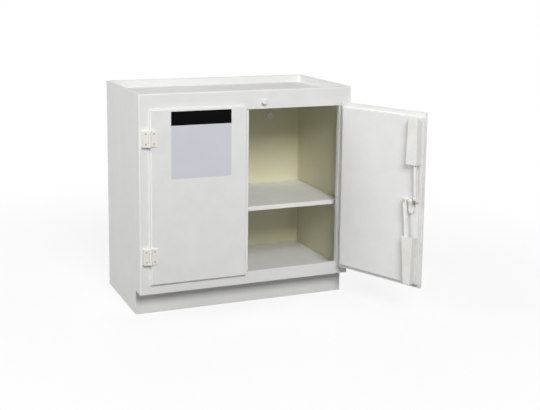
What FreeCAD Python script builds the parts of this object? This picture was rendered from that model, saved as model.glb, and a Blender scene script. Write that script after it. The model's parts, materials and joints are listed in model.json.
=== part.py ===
import FreeCAD, Part
import math
import os
import re
import Sketcher

# Under-counter safety cabinet of welded plastic sheet, with two hinged doors.
#
# Origin: centre of the floor rectangle under the carcass, on the floor.
# Axes: X to the right seen from the front, Y to the back, Z up. Millimetres.
#
# The carcass is a box of flat sheets closed in front by one cut face frame. Each
# door is an outer panel that covers the opening's edge and a smaller inner panel
# that fills the opening. The left door's inner panel passes its outer panel at the
# meeting edge, so the right door closes over that lip. The right door carries a
# three-point latch: a cam whose tongue reaches behind the lip, and two rods that
# the cam pushes behind the header and the sill. The right door stands open.

Vector = FreeCAD.Vector
doc = FreeCAD.newDocument("SafetyCabinet")

# Driving sizes: name, value, what it measures

SIZES = [
    ("cabinet_width", 914.4, "carcass, side to side"),
    ("cabinet_depth", 508.0, "carcass, face frame to back"),
    ("cabinet_height", 901.7, "floor to the rim of the work top"),
    ("sheet_thickness", 12.7, "sides, back, base, toe board and work top"),
    ("frame_thickness", 19.0, "face frame"),
    ("frame_edge_radius", 6.0, "rounding of the face frame's outer front edges"),
    ("stile_width", 55.2, "face frame, each side of the opening"),
    ("header_height", 76.7, "face frame above the opening"),
    ("sill_height", 51.5, "face frame below the opening"),
    ("toe_height", 100.0, "floor to the underside of the carcass"),
    ("toe_setback", 70.0, "face frame to the toe board"),
    ("worktop_recess", 32.0, "rim down to the work top"),
    ("shelf_thickness", 19.0, "shelf"),
    ("shelf_height", 410.0, "floor to the top of the shelf"),
    ("shelf_setback", 55.0, "face frame's front to the shelf's front edge"),
    ("shelf_side_gap", 1.0, "shelf end to side panel and shelf to back"),
    ("shelf_edge_radius", 2.0, "rounding of the shelf's front edges"),
    ("cleat_width", 19.0, "square strips under the shelf"),
    ("cleat_setback", 12.0, "shelf's front edge to the side strips"),
    ("post_width", 19.0, "square posts behind the stiles"),
    ("vent_offset", 299.0, "centre plane to the vent"),
    ("vent_height", 719.0, "floor to the vent"),
    ("vent_plug_radius", 15.0, "vent cap's plug"),
    ("vent_tube_radius", 22.0, "vent bushing in the back panel"),
    ("vent_flange_radius", 34.0, "vent bushing's flange"),
    ("vent_flange_thickness", 3.0, "vent bushing's flange"),
    ("vent_cap_radius", 18.0, "vent cap's head"),
    ("vent_cap_thickness", 4.0, "vent cap's head"),
    ("vent_plug_length", 9.0, "vent cap's plug"),
    ("stud_offset", 63.5, "centre plane to the header stud"),
    ("stud_rise", 29.5, "opening's top edge up to the header stud"),
    ("stud_reach", 16.0, "face frame to the front of the stud's cap"),
    ("stud_cap_radius", 12.0, "stud's cap"),
    ("stud_cap_thickness", 6.0, "stud's cap"),
    ("stud_neck_radius", 5.5, "stud between cap and frame"),
    ("stud_tail_radius", 4.0, "stud through the frame"),
    ("nut_flats", 13.0, "stud's nut across its flats"),
    ("nut_thickness", 6.0, "stud's nut, let into the frame's back"),
    ("skin_thickness", 12.7, "door's outer panel"),
    ("core_thickness", 12.7, "door's inner panel"),
    ("door_overlap", 12.5, "outer panel past the opening at sides and bottom"),
    ("door_overlap_top", 17.0, "outer panel past the opening at the top"),
    ("door_edge_radius", 6.0, "rounding of the outer panel's front edges"),
    ("core_edge_radius", 2.0, "rounding of the inner panel's rear edges"),
    ("core_gap", 2.0, "inner panel to the opening"),
    ("meeting_overlap", 10.0, "right outer panel past the centre plane"),
    ("meeting_gap", 3.0, "between the outer panels"),
    ("meeting_lip", 11.5, "left inner panel past its outer panel"),
    ("lip_gap", 2.5, "between the inner panels"),
    ("right_door_angle", 112.8, "how far the right door stands open, degrees"),
    ("hinge_height", 64.0, "hinge leaves"),
    ("hinge_upper_drop", 114.0, "door's top edge to the middle of the upper hinges"),
    ("hinge_lower_rise", 119.0, "door's bottom edge to the middle of the lower hinges"),
    ("hinge_reach", 28.5, "hinge axis to the leaf's outer edge"),
    ("leaf_thickness", 5.0, "hinge leaf"),
    ("leaf_corner_radius", 3.0, "leaf's outer corners"),
    ("leaf_axis_gap", 0.5, "leaf's inner edge to the hinge axis"),
    ("knuckle_radius", 5.0, "hinge knuckle"),
    ("knuckle_gap", 0.4, "between knuckles"),
    ("knuckle_standoff", 0.5, "knuckle to the door's face"),
    ("knuckle_clearance", 0.8, "knuckle to the other leaf's cut-out"),
    ("hinge_edge_gap", 3.0, "door's edge to the hinge axis"),
    ("hinge_pin_radius", 2.5, "hinge pin"),
    ("hinge_pin_head", 2.5, "hinge pin's head, thickness"),
    ("packer_inset", 3.5, "hinge axis to the packing block"),
    ("leaf_screw_offset", 17.0, "hinge axis to the leaf's screws"),
    ("leaf_screw_pitch", 41.0, "between the leaf's screws"),
    ("screw_head_radius", 4.5, "screw's head"),
    ("screw_head_height", 2.5, "pan head"),
    ("screw_shank_radius", 2.4, "screw's shank"),
    ("screw_fit", 0.05, "radial gap around screws, caps and bushes"),
    ("screw_end_gap", 0.3, "screw's end to the bottom of its hole"),
    ("frame_screw_length", 32.0, "screws through leaf and block into the frame"),
    ("door_screw_length", 16.0, "screws into a door's outer panel"),
    ("stile_screw_length", 25.0, "screws through the stile into the post"),
    ("stile_screw_spacing", 54.2, "hinge middle to the stile screw nearest it"),
    ("cap_radius", 5.0, "cap over a stile screw"),
    ("cap_dome", 1.2, "how far a cap stands out"),
    ("cap_seat_depth", 7.0, "counterbore for screw head and cap"),
    ("running_fit", 0.08, "radial gap of a shaft in its bore"),
    ("axial_gap", 0.3, "between faces that turn on each other"),
    ("latch_backset", 44.0, "right door's free edge to the latch axis"),
    ("latch_height", 492.0, "floor to the latch axis"),
    ("crank_radius", 26.0, "latch axis to a crank pin"),
    ("crank_pin_radius", 4.0, "crank pin"),
    ("crank_head_radius", 7.0, "crank pin's head"),
    ("crank_head_thickness", 3.0, "crank pin's head"),
    ("crank_boss_radius", 8.0, "cam's arm around a crank pin"),
    ("cam_washer_thickness", 1.0, "washer between door and cam"),
    ("cam_thickness", 6.5, "cam plate"),
    ("cam_bar_width", 25.0, "cam's tongue"),
    ("tongue_length", 52.0, "latch axis to the tongue's end"),
    ("cam_tail_length", 30.0, "latch axis to the end opposite the tongue"),
    ("cam_hub_radius", 12.0, "cam's hub"),
    ("cam_hub_height", 5.0, "cam's hub above its plate"),
    ("cam_corner_radius", 4.0, "cam's inside corners"),
    ("rod_radius", 8.0, "latch rod"),
    ("rod_offset", 16.1, "door's inner face to the rod's centre line"),
    ("rod_tang_thickness", 9.0, "flattened end of a rod"),
    ("rod_tang_length", 24.0, "flattened end of a rod"),
    ("rod_tip_radius", 4.0, "rounding of a rod's free end"),
    ("rod_engagement", 18.5, "rod past the opening's edge when latched"),
    ("upper_nose_reach", 14.0, "latch axis to the upper rod at its nose"),
    ("lower_nose_reach", 6.0, "latch axis to the lower rod at its nose"),
    ("upper_guide_length", 184.0, "upper rod guide"),
    ("lower_guide_length", 193.0, "lower rod guide"),
    ("guide_end_gap", 2.0, "rod guide to the inner panel's edge"),
    ("guide_wall", 3.0, "rod guide"),
    ("guide_play", 1.0, "rod to guide"),
    ("upper_mouth_margin", 9.0, "extra width of the upper guide's mouth"),
    ("upper_nose_margin", 13.0, "extra width of the upper guide's nose"),
    ("lower_nose_margin", 4.0, "extra width of the lower guide's nose"),
    ("guide_corner_radius", 6.0, "outer corners at a guide's nose"),
    ("guide_edge_radius", 1.5, "front edges of a guide"),
    ("spindle_radius", 7.0, "spindle in its bush"),
    ("spindle_square", 9.5, "spindle's square ends, across flats"),
    ("spindle_grip", 12.0, "length of square in the lever"),
    ("bush_wall", 3.0, "spindle bush"),
    ("bush_flange_width", 4.0, "spindle bush"),
    ("bush_flange_thickness", 2.0, "spindle bush"),
    ("rose_radius", 26.0, "plate under the lever"),
    ("rose_thickness", 8.0, "plate under the lever"),
    ("rose_bevel", 2.0, "plate's front edge"),
    ("rose_screw_pitch", 36.0, "between the plate's screws"),
    ("lever_length", 105.0, "latch axis to the centre of the lever's tip"),
    ("lever_hub_radius", 15.0, "lever around the spindle"),
    ("lever_tip_radius", 9.0, "lever's tip"),
    ("lever_thickness", 15.0, "lever"),
    ("lever_edge_radius", 3.0, "lever's edges"),
    ("end_screw_length", 9.0, "screws in the spindle's ends"),
    ("end_screw_head_radius", 7.0, "screws in the spindle's ends"),
    ("bolt_inset", 47.0, "left outer panel's free edge to the slide bolts"),
    ("bolt_radius", 6.2, "slide bolt"),
    ("bolt_fit", 0.3, "radial gap of a slide bolt"),
    ("bolt_offset", 13.6, "door's inner face to the bolt's centre line"),
    ("bolt_length", 98.0, "slide bolt"),
    ("bolt_tip_radius", 2.5, "rounding of a bolt's end"),
    ("bolt_travel", 22.0, "slide bolt"),
    ("bolt_rest_gap", 6.0, "drawn bolt's end to the opening's edge"),
    ("housing_length", 55.0, "bolt housing"),
    ("housing_end_gap", 20.0, "bolt housing to the inner panel's edge"),
    ("housing_wall", 4.5, "bolt housing around its bore"),
    ("housing_flange_width", 13.0, "bolt housing's flange, each side"),
    ("housing_flange_thickness", 5.0, "bolt housing's flange"),
    ("housing_screw_pitch", 32.0, "between the screws of a flange"),
    ("knob_stem_radius", 3.5, "bolt's knob"),
    ("knob_radius", 7.0, "bolt's knob"),
    ("knob_thickness", 5.0, "bolt's knob"),
    ("knob_reach", 32.0, "door's inner face to the knob's end"),
]

KNUCKLES = 5
FRAME_KNUCKLES = (0, 2, 4)
DOOR_KNUCKLES = (1, 3)

sizes = doc.addObject("Spreadsheet::Sheet", "Sizes")
for row, (alias, number, note) in enumerate(SIZES, start=1):
    sizes.set(f"A{row}", alias)
    sizes.set(f"B{row}", str(number))
    sizes.setAlias(f"B{row}", alias)
    sizes.set(f"C{row}", note)
doc.recompute()

# Planes and points that several pieces share, as expressions of the sizes

SIDE_OUT = "(cabinet_width / 2)"
SIDE_IN = "(cabinet_width / 2 - sheet_thickness)"
FRONT = "(-cabinet_depth / 2)"
FRAME_BACK = "(frame_thickness - cabinet_depth / 2)"
BACK_OUT = "(cabinet_depth / 2)"
BACK_IN = "(cabinet_depth / 2 - sheet_thickness)"
TOE_FACE = "(toe_setback - cabinet_depth / 2)"
FLOOR = "(toe_height + sheet_thickness)"
OPEN_SIDE = "(cabinet_width / 2 - stile_width)"
OPEN_LOW = "(toe_height + sill_height)"
OPEN_HIGH = "(cabinet_height - header_height)"
TOP_FACE = "(cabinet_height - worktop_recess)"
TOP_UNDER = "(cabinet_height - worktop_recess - sheet_thickness)"
SHELF_UNDER = "(shelf_height - shelf_thickness)"
SHELF_FRONT = "(shelf_setback - cabinet_depth / 2)"
POST_MIDDLE = f"({SIDE_IN} - post_width / 2)"
STUD_HEIGHT = f"({OPEN_HIGH} + stud_rise)"
NUT_CORNER = "(nut_flats / sqrt(3))"
NUT_DEPTH = "(nut_thickness + axial_gap)"
NUT_SEAT = f"({FRAME_BACK} - {NUT_DEPTH})"

DOOR_FACE = f"({FRONT} - skin_thickness)"
CORE_FACE = f"({FRONT} + core_thickness)"
DOOR_SIDE = f"({OPEN_SIDE} + door_overlap)"
DOOR_LOW = f"({OPEN_LOW} - door_overlap)"
DOOR_HIGH = f"({OPEN_HIGH} + door_overlap_top)"
CORE_SIDE = f"({OPEN_SIDE} - core_gap)"
CORE_LOW = f"({OPEN_LOW} + core_gap)"
CORE_HIGH = f"({OPEN_HIGH} - core_gap)"
RIGHT_FREE = "(-meeting_overlap)"
LEFT_FREE = "(-meeting_overlap - meeting_gap)"
LEFT_LIP = f"({LEFT_FREE} + meeting_lip)"
RIGHT_CORE = f"({LEFT_LIP} + lip_gap)"
PANELS = "(skin_thickness + core_thickness)"

AXIS_X = f"({DOOR_SIDE} + hinge_edge_gap)"
LEAF_BACK = "(knuckle_radius + knuckle_standoff)"
LEAF_FACE = f"({LEAF_BACK} - leaf_thickness)"
AXIS_Y = f"({DOOR_FACE} - {LEAF_BACK})"
KNUCKLE_LENGTH = f"((hinge_height - {KNUCKLES - 1} * knuckle_gap) / {KNUCKLES})"
KNUCKLE_PITCH = f"({KNUCKLE_LENGTH} + knuckle_gap)"
HINGE_HEIGHTS = {
    "upper": f"({DOOR_HIGH} - hinge_upper_drop)",
    "lower": f"({DOOR_LOW} + hinge_lower_rise)",
}

HUB_X = "(latch_backset - meeting_overlap)"
UPPER_NOSE = f"({CORE_HIGH} - guide_end_gap - latch_height)"
LOWER_NOSE = f"({CORE_LOW} + guide_end_gap - latch_height)"
UPPER_LEAN = f"atan((crank_radius - upper_nose_reach) / {UPPER_NOSE})"
LOWER_LEAN = f"atan((crank_radius + lower_nose_reach) / -{LOWER_NOSE})"
UPPER_LATCHED = f"atan(upper_nose_reach / ({UPPER_NOSE} - crank_radius))"
LOWER_LATCHED = f"atan(lower_nose_reach / (-{LOWER_NOSE} - crank_radius))"
HALF_TURN = "(crank_radius * cos(45))"
UPPER_DRIFT = f"(tan(({UPPER_LATCHED} - {UPPER_LEAN}) / 2) * ({UPPER_NOSE} - {HALF_TURN}))"
LOWER_DRIFT = f"(tan(({LOWER_LATCHED} + {LOWER_LEAN}) / 2) * (-{LOWER_NOSE} - {HALF_TURN}))"
CAM_FACE = "(cam_washer_thickness + cam_thickness)"
HUB_FACE = f"({CAM_FACE} + cam_hub_height)"
TANG_NEAR = "(rod_offset - rod_tang_thickness / 2 - axial_gap)"
TANG_FAR = "(rod_offset + rod_tang_thickness / 2 + axial_gap)"
LEVER_BACK = f"({PANELS} + rose_thickness + axial_gap)"
SPINDLE_BORE = "(spindle_radius + running_fit)"
BUSH_RADIUS = f"({SPINDLE_BORE} + bush_wall)"
BUSH_FLANGE = f"({BUSH_RADIUS} + bush_flange_width)"
SHANK_HOLE = "(screw_shank_radius + screw_fit)"
END_HOLE_DEPTH = "(end_screw_length + screw_end_gap)"

pieces = []


def bound(text):
    """Point every size name of an expression at its cell in the sheet."""
    return re.sub(r"\b[a-z]+(?:_[a-z]+)+\b", lambda word: "Sizes." + word.group(0), text)


def value(text):
    """The number that an expression has now."""
    return float(sizes.evalExpression(bound(text)))


def place(x, y, z, axis="0; 0; 1", angle="0"):
    """Expression of a placement: a point, and a turn about an axis through it."""
    point = f"create(<<vector>>; {x}; {y}; {z})"
    turn = f"create(<<rotation>>; create(<<vector>>; {axis}); {angle})"
    return f"create(<<placement>>; {point}; {turn})"


UPSIDE_DOWN = {"axis": "0; 1; 0", "angle": "180"}
RIGHT_SWING = (
    f"{place(AXIS_X, AXIS_Y, '0', angle='right_door_angle')}"
    f" * {place(f'-{AXIS_X}', f'-{AXIS_Y}', '0')}"
)
LATCH = f"{RIGHT_SWING} * {place(HUB_X, CORE_FACE, 'latch_height')}"


def named(kind, name, placement=None):
    """A sub-part of the cabinet, labelled with the name of its file."""
    made = doc.addObject(kind, name)
    made.Label = name
    if placement:
        made.setExpression("Placement", bound(placement))
    pieces.append(made)
    return made


def new_body(name, placement=None):
    return named("PartDesign::Body", name, placement)


def board(name, x, y, z):
    """A plain board between the low and high plane of each axis."""
    made = named("Part::Box", name)
    for side, axis, (low, high) in zip(("Length", "Width", "Height"), "xyz", (x, y, z)):
        made.setExpression(side, bound(f"({high}) - ({low})"))
        made.setExpression(f"Placement.Base.{axis}", bound(low))
    return made


def origin_feature(body, role):
    return next(part for part in body.Origin.OriginFeatures if part.Role == role)


def sketch_on(body, role, offset):
    """An empty sketch, parallel to one of the body's own origin planes."""
    count = sum(part.isDerivedFrom("Sketcher::SketchObject") for part in body.Group)
    made = body.newObject("Sketcher::SketchObject", f"{body.Name}_sketch{count + 1}")
    made.AttachmentSupport = [(origin_feature(body, role), "")]
    made.MapMode = "FlatFace"
    made.setExpression("AttachmentOffset.Base.z", bound(offset))
    return made


def front_sketch(body, y):
    """A sketch seen from the front, in the plane at y. A pad grows to the front."""
    return sketch_on(body, "XZ_Plane", f"-({y})")


def datum(sketch, kind, members, text):
    """A dimension of a sketch, bound to an expression."""
    index = sketch.addConstraint(Sketcher.Constraint(kind, *members, value(text)))
    sketch.setExpression(f"Constraints[{index}]", bound(text))


def fix_point(sketch, geometry, vertex, x, y):
    """Hold a point of a sketch at x, y from the sketch's origin."""
    for kind, axis, text in (("DistanceX", -2, x), ("DistanceY", -1, y)):
        if text == "0":
            sketch.addConstraint(Sketcher.Constraint("PointOnObject", geometry, vertex, axis))
        else:
            datum(sketch, kind, (-1, 1, geometry, vertex), text)


def polygon(sketch, points):
    """A closed outline of straight lines through the points."""
    first = sketch.GeometryCount
    corners = [Vector(value(x), value(y), 0) for x, y in points]
    count = len(points)
    for number, corner in enumerate(corners):
        sketch.addGeometry(Part.LineSegment(corner, corners[(number + 1) % count]), False)
    for number in range(count):
        following = first + (number + 1) % count
        sketch.addConstraint(Sketcher.Constraint("Coincident", first + number, 2, following, 1))
    for number, (x, y) in enumerate(points):
        fix_point(sketch, first + number, 1, x, y)


def rectangle(sketch, x, y):
    (left, right), (low, high) = x, y
    polygon(sketch, [(left, low), (right, low), (right, high), (left, high)])


def circle(sketch, x, y, radius):
    index = sketch.GeometryCount
    centre = Vector(value(x), value(y), 0)
    sketch.addGeometry(Part.Circle(centre, Vector(0, 0, 1), value(radius)), False)
    fix_point(sketch, index, 3, x, y)
    datum(sketch, "Radius", (index,), radius)


def circles(sketch, centres, radius):
    for x, y in centres:
        circle(sketch, x, y, radius)


def capsule(sketch, start, start_radius, end, end_radius):
    """Two round ends, of one radius or two, joined by their common tangents."""
    first = sketch.GeometryCount
    ends = [Vector(value(x), value(y), 0) for x, y in (start, end)]
    radii = [value(start_radius), value(end_radius)]
    run = ends[1] - ends[0]
    heading = math.atan2(run.y, run.x)
    tilt = math.acos((radii[0] - radii[1]) / run.Length)
    up = Vector(0, 0, 1)
    spans = ((heading + tilt, heading - tilt + 2 * math.pi), (heading - tilt, heading + tilt))
    for centre, radius, (low, high) in zip(ends, radii, spans):
        sketch.addGeometry(Part.ArcOfCircle(Part.Circle(centre, up, radius), low, high), False)
    for side in (-tilt, tilt):
        outward = Vector(math.cos(heading + side), math.sin(heading + side), 0)
        near, far = (centre + outward * radius for centre, radius in zip(ends, radii))
        sketch.addGeometry(Part.LineSegment(near, far), False)
    joints = ((0, 2, 2, 1), (2, 2, 1, 1), (1, 2, 3, 2), (3, 1, 0, 1))
    for one, one_end, other, other_end in joints:
        members = (first + one, one_end, first + other, other_end)
        sketch.addConstraint(Sketcher.Constraint("Tangent", *members))
    for number, (x, y) in enumerate((start, end)):
        fix_point(sketch, first + number, 3, x, y)
    datum(sketch, "Radius", (first,), start_radius)
    datum(sketch, "Radius", (first + 1,), end_radius)


def pad(body, profile, length):
    made = body.newObject("PartDesign::Pad", f"{profile.Name}_pad")
    made.Profile = profile
    made.setExpression("Length", bound(length))
    return made


def pocket(body, profile, length):
    """Cut against the sketch's normal: to the back from a front sketch."""
    made = body.newObject("PartDesign::Pocket", f"{profile.Name}_pocket")
    made.Profile = profile
    made.setExpression("Length", bound(length))
    return made


def pocket_both_ways(body, profile, length):
    made = pocket(body, profile, length)
    made.Midplane = True
    return made


def drill(body, y, centres, radius, depth):
    """Round holes from the plane at y to the back."""
    holes = front_sketch(body, y)
    circles(holes, centres, radius)
    return pocket(body, holes, depth)


def countersink(body, y, centres):
    """Through holes with a conical seat for screw heads, from the plane at y."""
    holes = front_sketch(body, y)
    circles(holes, centres, SHANK_HOLE)
    doc.recompute()
    made = body.newObject("PartDesign::Hole", f"{holes.Name}_hole")
    made.Profile = holes
    made.ThreadType = "None"
    made.DepthType = "ThroughAll"
    made.HoleCutType = "Countersink"
    made.HoleCutCountersinkAngle = 90
    made.setExpression("Diameter", bound(f"2 * {SHANK_HOLE}"))
    made.setExpression("HoleCutDiameter", bound("2 * (screw_head_radius + screw_fit)"))
    return made


def pad_block(body, x, y, z):
    """A rectangular block between two planes of each axis, added to a body."""
    front, back = y
    block = front_sketch(body, back)
    rectangle(block, x, z)
    return pad(body, block, f"({back}) - ({front})")


def pad_disc(body, y, centres, radius):
    """Round discs about axes parallel to Y, added to a body."""
    front, back = y
    discs = front_sketch(body, back)
    circles(discs, centres, radius)
    return pad(body, discs, f"({back}) - ({front})")


def lies_on(edge, planes):
    """True where the whole edge lies on each plane given, such as y=0."""
    box = edge.BoundBox
    for axis, text in planes.items():
        place_now = value(text)
        low = getattr(box, f"{axis.upper()}Min")
        high = getattr(box, f"{axis.upper()}Max")
        if abs(low - place_now) > 0.01 or abs(high - place_now) > 0.01:
            return False
    return True


def round_edges(body, radius, choices):
    """Round the edges that lie on the planes of any one choice."""
    doc.recompute()
    tip = body.Tip
    chosen = [
        f"Edge{number}"
        for number, edge in enumerate(tip.Shape.Edges, start=1)
        if any(lies_on(edge, planes) for planes in choices)
    ]
    made = body.newObject("PartDesign::Fillet", f"{tip.Name}_fillet")
    made.Base = (tip, chosen)
    made.setExpression("Radius", bound(radius))
    return made


def turned(name, outline, placement=None, keep=True):
    """A piece turned about its Y axis, from an outline of radius and y."""
    body = new_body(name, placement)
    if not keep:
        pieces.remove(body)
    half = sketch_on(body, "XY_Plane", "0")
    polygon(half, outline)
    made = body.newObject("PartDesign::Revolution", f"{name}_turn")
    made.Profile = half
    made.ReferenceAxis = (origin_feature(body, "Y_Axis"), [""])
    made.Angle = 360
    return body


def group(name, master, places, placement=None):
    """Like pieces that share one node: one link to the master for each place."""
    links = []
    for number, where in enumerate(places, start=1):
        link = doc.addObject("App::Link", f"{name}_{number}")
        link.LinkedObject = master
        link.setExpression("Placement", bound(where))
        links.append(link)
    made = named("Part::Compound", name, placement)
    made.Links = links
    return made


# Screws


def countersunk_screw(name, length):
    """Head at y=0, facing the front."""
    outline = [
        ("0", "0"),
        ("screw_head_radius", "0"),
        ("screw_shank_radius", "screw_head_radius - screw_shank_radius"),
        ("screw_shank_radius", length),
        ("0", length),
    ]
    return turned(name, outline, keep=False)


def pan_screw(name, length):
    """Seat at y=0, head towards the front."""
    outline = [
        ("0", "-screw_head_height"),
        ("screw_head_radius - screw_head_height / 2", "-screw_head_height"),
        ("screw_head_radius", "-screw_head_height / 2"),
        ("screw_head_radius", "0"),
        ("screw_shank_radius", "0"),
        ("screw_shank_radius", length),
        ("0", length),
    ]
    return turned(name, outline, keep=False)


frame_screw = countersunk_screw("frame_screw", "frame_screw_length")
door_screw = countersunk_screw("door_screw", "door_screw_length")
stile_screw = pan_screw("stile_screw", "stile_screw_length")
HOUSING_SCREW_LENGTH = "(housing_flange_thickness + core_thickness * 0.75)"
housing_screw = pan_screw("housing_screw", HOUSING_SCREW_LENGTH)


def leaf_screw_points(side, direction):
    """Front-view centres of one side's leaf screws; side and direction are signs."""
    x = f"{side} * ({AXIS_X} + {direction} * leaf_screw_offset)"
    return [
        (x, f"{height} + {step} * leaf_screw_pitch / 2")
        for height in HINGE_HEIGHTS.values()
        for step in (-1, 1)
    ]


FRAME_LEAF_SCREWS = leaf_screw_points(-1, 1) + leaf_screw_points(1, 1)
STILE_SCREW_HEIGHTS = (
    f"{HINGE_HEIGHTS['upper']} - stile_screw_spacing",
    f"{HINGE_HEIGHTS['lower']} + stile_screw_spacing",
)


def stile_screw_points(side):
    return [(f"{side} * {POST_MIDDLE}", height) for height in STILE_SCREW_HEIGHTS]


STILE_SCREWS = stile_screw_points(-1) + stile_screw_points(1)

# Carcass


def side_panel(name, low_x):
    """One side, notched at its lower front corner for the toe space."""
    body = new_body(name)
    outline = sketch_on(body, "YZ_Plane", low_x)
    polygon(outline, [
        (TOE_FACE, "0"),
        (BACK_OUT, "0"),
        (BACK_OUT, "cabinet_height"),
        (FRAME_BACK, "cabinet_height"),
        (FRAME_BACK, "toe_height"),
        (TOE_FACE, "toe_height"),
    ])
    pad(body, outline, "sheet_thickness")


side_panel("side_panel_left", f"-{SIDE_OUT}")
side_panel("side_panel_right", SIDE_IN)


def back_panel():
    """Back sheet between the sides, with the hole of the vent."""
    body = new_body("back_panel")
    sheet = front_sketch(body, BACK_OUT)
    rectangle(sheet, (f"-{SIDE_IN}", SIDE_IN), ("0", "cabinet_height"))
    circle(sheet, "vent_offset", "vent_height", "vent_tube_radius + screw_fit")
    pad(body, sheet, "sheet_thickness")


back_panel()

BETWEEN_SIDES = (f"-{SIDE_IN}", SIDE_IN)
board("base_panel", BETWEEN_SIDES, (FRAME_BACK, BACK_IN), ("toe_height", FLOOR))
board("toe_board", BETWEEN_SIDES, (TOE_FACE, f"{TOE_FACE} + sheet_thickness"), ("0", "toe_height"))
board("worktop_panel", BETWEEN_SIDES, (FRAME_BACK, BACK_IN), (TOP_UNDER, TOP_FACE))


def face_frame():
    """One sheet with the door opening, bored for hinges, caps and the stud."""
    body = new_body("face_frame")
    outline = front_sketch(body, FRAME_BACK)
    rectangle(outline, (f"-{SIDE_OUT}", SIDE_OUT), ("toe_height", "cabinet_height"))
    rectangle(outline, (f"-{OPEN_SIDE}", OPEN_SIDE), (OPEN_LOW, OPEN_HIGH))
    pad(body, outline, "frame_thickness")
    round_edges(body, "frame_edge_radius", [
        {"y": FRONT, "x": f"-{SIDE_OUT}"},
        {"y": FRONT, "x": SIDE_OUT},
        {"y": FRONT, "z": "cabinet_height"},
    ])
    hinge_depth = "frame_screw_length - leaf_thickness - skin_thickness + screw_end_gap"
    drill(body, FRONT, FRAME_LEAF_SCREWS, SHANK_HOLE, hinge_depth)
    drill(body, FRONT, STILE_SCREWS, "cap_radius + screw_fit", "cap_seat_depth")
    drill(body, FRONT, STILE_SCREWS, SHANK_HOLE, "frame_thickness")
    stud_hole = "stud_tail_radius + screw_fit"
    drill(body, FRONT, [("stud_offset", STUD_HEIGHT)], stud_hole, "frame_thickness")
    nut_hole = f"{NUT_CORNER} + screw_fit"
    drill(body, NUT_SEAT, [("stud_offset", STUD_HEIGHT)], nut_hole, NUT_DEPTH)


face_frame()


def corner_post(name, side, x):
    """Square post behind a stile, bored for the stile's screws."""
    body = new_body(name)
    pad_block(body, x, (FRAME_BACK, f"{FRAME_BACK} + post_width"), (FLOOR, TOP_UNDER))
    depth = "cap_seat_depth + stile_screw_length - frame_thickness + screw_end_gap"
    drill(body, FRAME_BACK, stile_screw_points(side), SHANK_HOLE, depth)


corner_post("corner_post_left", -1, (f"-{SIDE_IN}", f"post_width - {SIDE_IN}"))
corner_post("corner_post_right", 1, (f"{SIDE_IN} - post_width", SIDE_IN))

SCREW_SEAT = f"({FRONT} + cap_seat_depth)"
group("stile_screws", stile_screw, [place(x, SCREW_SEAT, z) for x, z in STILE_SCREWS])

CAP_INNER = "(cap_seat_depth - screw_head_height - screw_end_gap)"
stile_cap = turned("stile_cap", [
    ("0", "-cap_dome"),
    ("cap_radius - cap_dome", "-cap_dome"),
    ("cap_radius", "0"),
    ("cap_radius", CAP_INNER),
    ("0", CAP_INNER),
], keep=False)
group("stile_screw_caps", stile_cap, [place(x, FRONT, z) for x, z in STILE_SCREWS])


def shelf():
    """Shelf with its front edges eased."""
    body = new_body("shelf")
    end = f"({SIDE_IN} - shelf_side_gap)"
    depth = (SHELF_FRONT, f"{BACK_IN} - shelf_side_gap")
    pad_block(body, (f"-{end}", end), depth, (SHELF_UNDER, "shelf_height"))
    round_edges(body, "shelf_edge_radius", [
        {"y": SHELF_FRONT, "z": "shelf_height"},
        {"y": SHELF_FRONT, "z": SHELF_UNDER},
    ])


shelf()

CLEAT_Z = (f"{SHELF_UNDER} - cleat_width", SHELF_UNDER)
CLEAT_Y = (f"{SHELF_FRONT} + cleat_setback", BACK_IN)
CLEAT_END = f"({SIDE_IN} - cleat_width)"
board("shelf_cleat_left", (f"-{SIDE_IN}", f"-{CLEAT_END}"), CLEAT_Y, CLEAT_Z)
board("shelf_cleat_right", (CLEAT_END, SIDE_IN), CLEAT_Y, CLEAT_Z)
REAR_CLEAT_Y = (f"{BACK_IN} - cleat_width", BACK_IN)
board("shelf_cleat_rear", (f"-{CLEAT_END}", CLEAT_END), REAR_CLEAT_Y, CLEAT_Z)

# Vent in the back panel

VENT = place("vent_offset", BACK_IN, "vent_height")
VENT_BORE = "(vent_plug_radius + screw_fit)"
turned("vent_bushing", [
    (VENT_BORE, "-vent_flange_thickness"),
    ("vent_flange_radius - vent_flange_thickness / 2", "-vent_flange_thickness"),
    ("vent_flange_radius", "-vent_flange_thickness / 2"),
    ("vent_flange_radius", "0"),
    ("vent_tube_radius", "0"),
    ("vent_tube_radius", "sheet_thickness"),
    (VENT_BORE, "sheet_thickness"),
], VENT)
turned("vent_cap", [
    ("0", "-vent_flange_thickness - vent_cap_thickness"),
    ("vent_cap_radius - vent_cap_thickness / 2", "-vent_flange_thickness - vent_cap_thickness"),
    ("vent_cap_radius", "-vent_flange_thickness - vent_cap_thickness / 2"),
    ("vent_cap_radius", "-vent_flange_thickness"),
    ("vent_plug_radius", "-vent_flange_thickness"),
    ("vent_plug_radius", "vent_plug_length - vent_flange_thickness"),
    ("0", "vent_plug_length - vent_flange_thickness"),
], VENT)

# Header stud

turned("header_stud", [
    ("0", "-stud_reach"),
    ("stud_cap_radius - stud_cap_thickness / 2", "-stud_reach"),
    ("stud_cap_radius", "stud_cap_thickness / 2 - stud_reach"),
    ("stud_cap_radius", "stud_cap_thickness - stud_reach"),
    ("stud_neck_radius", "stud_cap_thickness - stud_reach"),
    ("stud_neck_radius", "0"),
    ("stud_tail_radius", "0"),
    ("stud_tail_radius", "frame_thickness - axial_gap"),
    ("0", "frame_thickness - axial_gap"),
], place("stud_offset", FRONT, STUD_HEIGHT))


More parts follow.
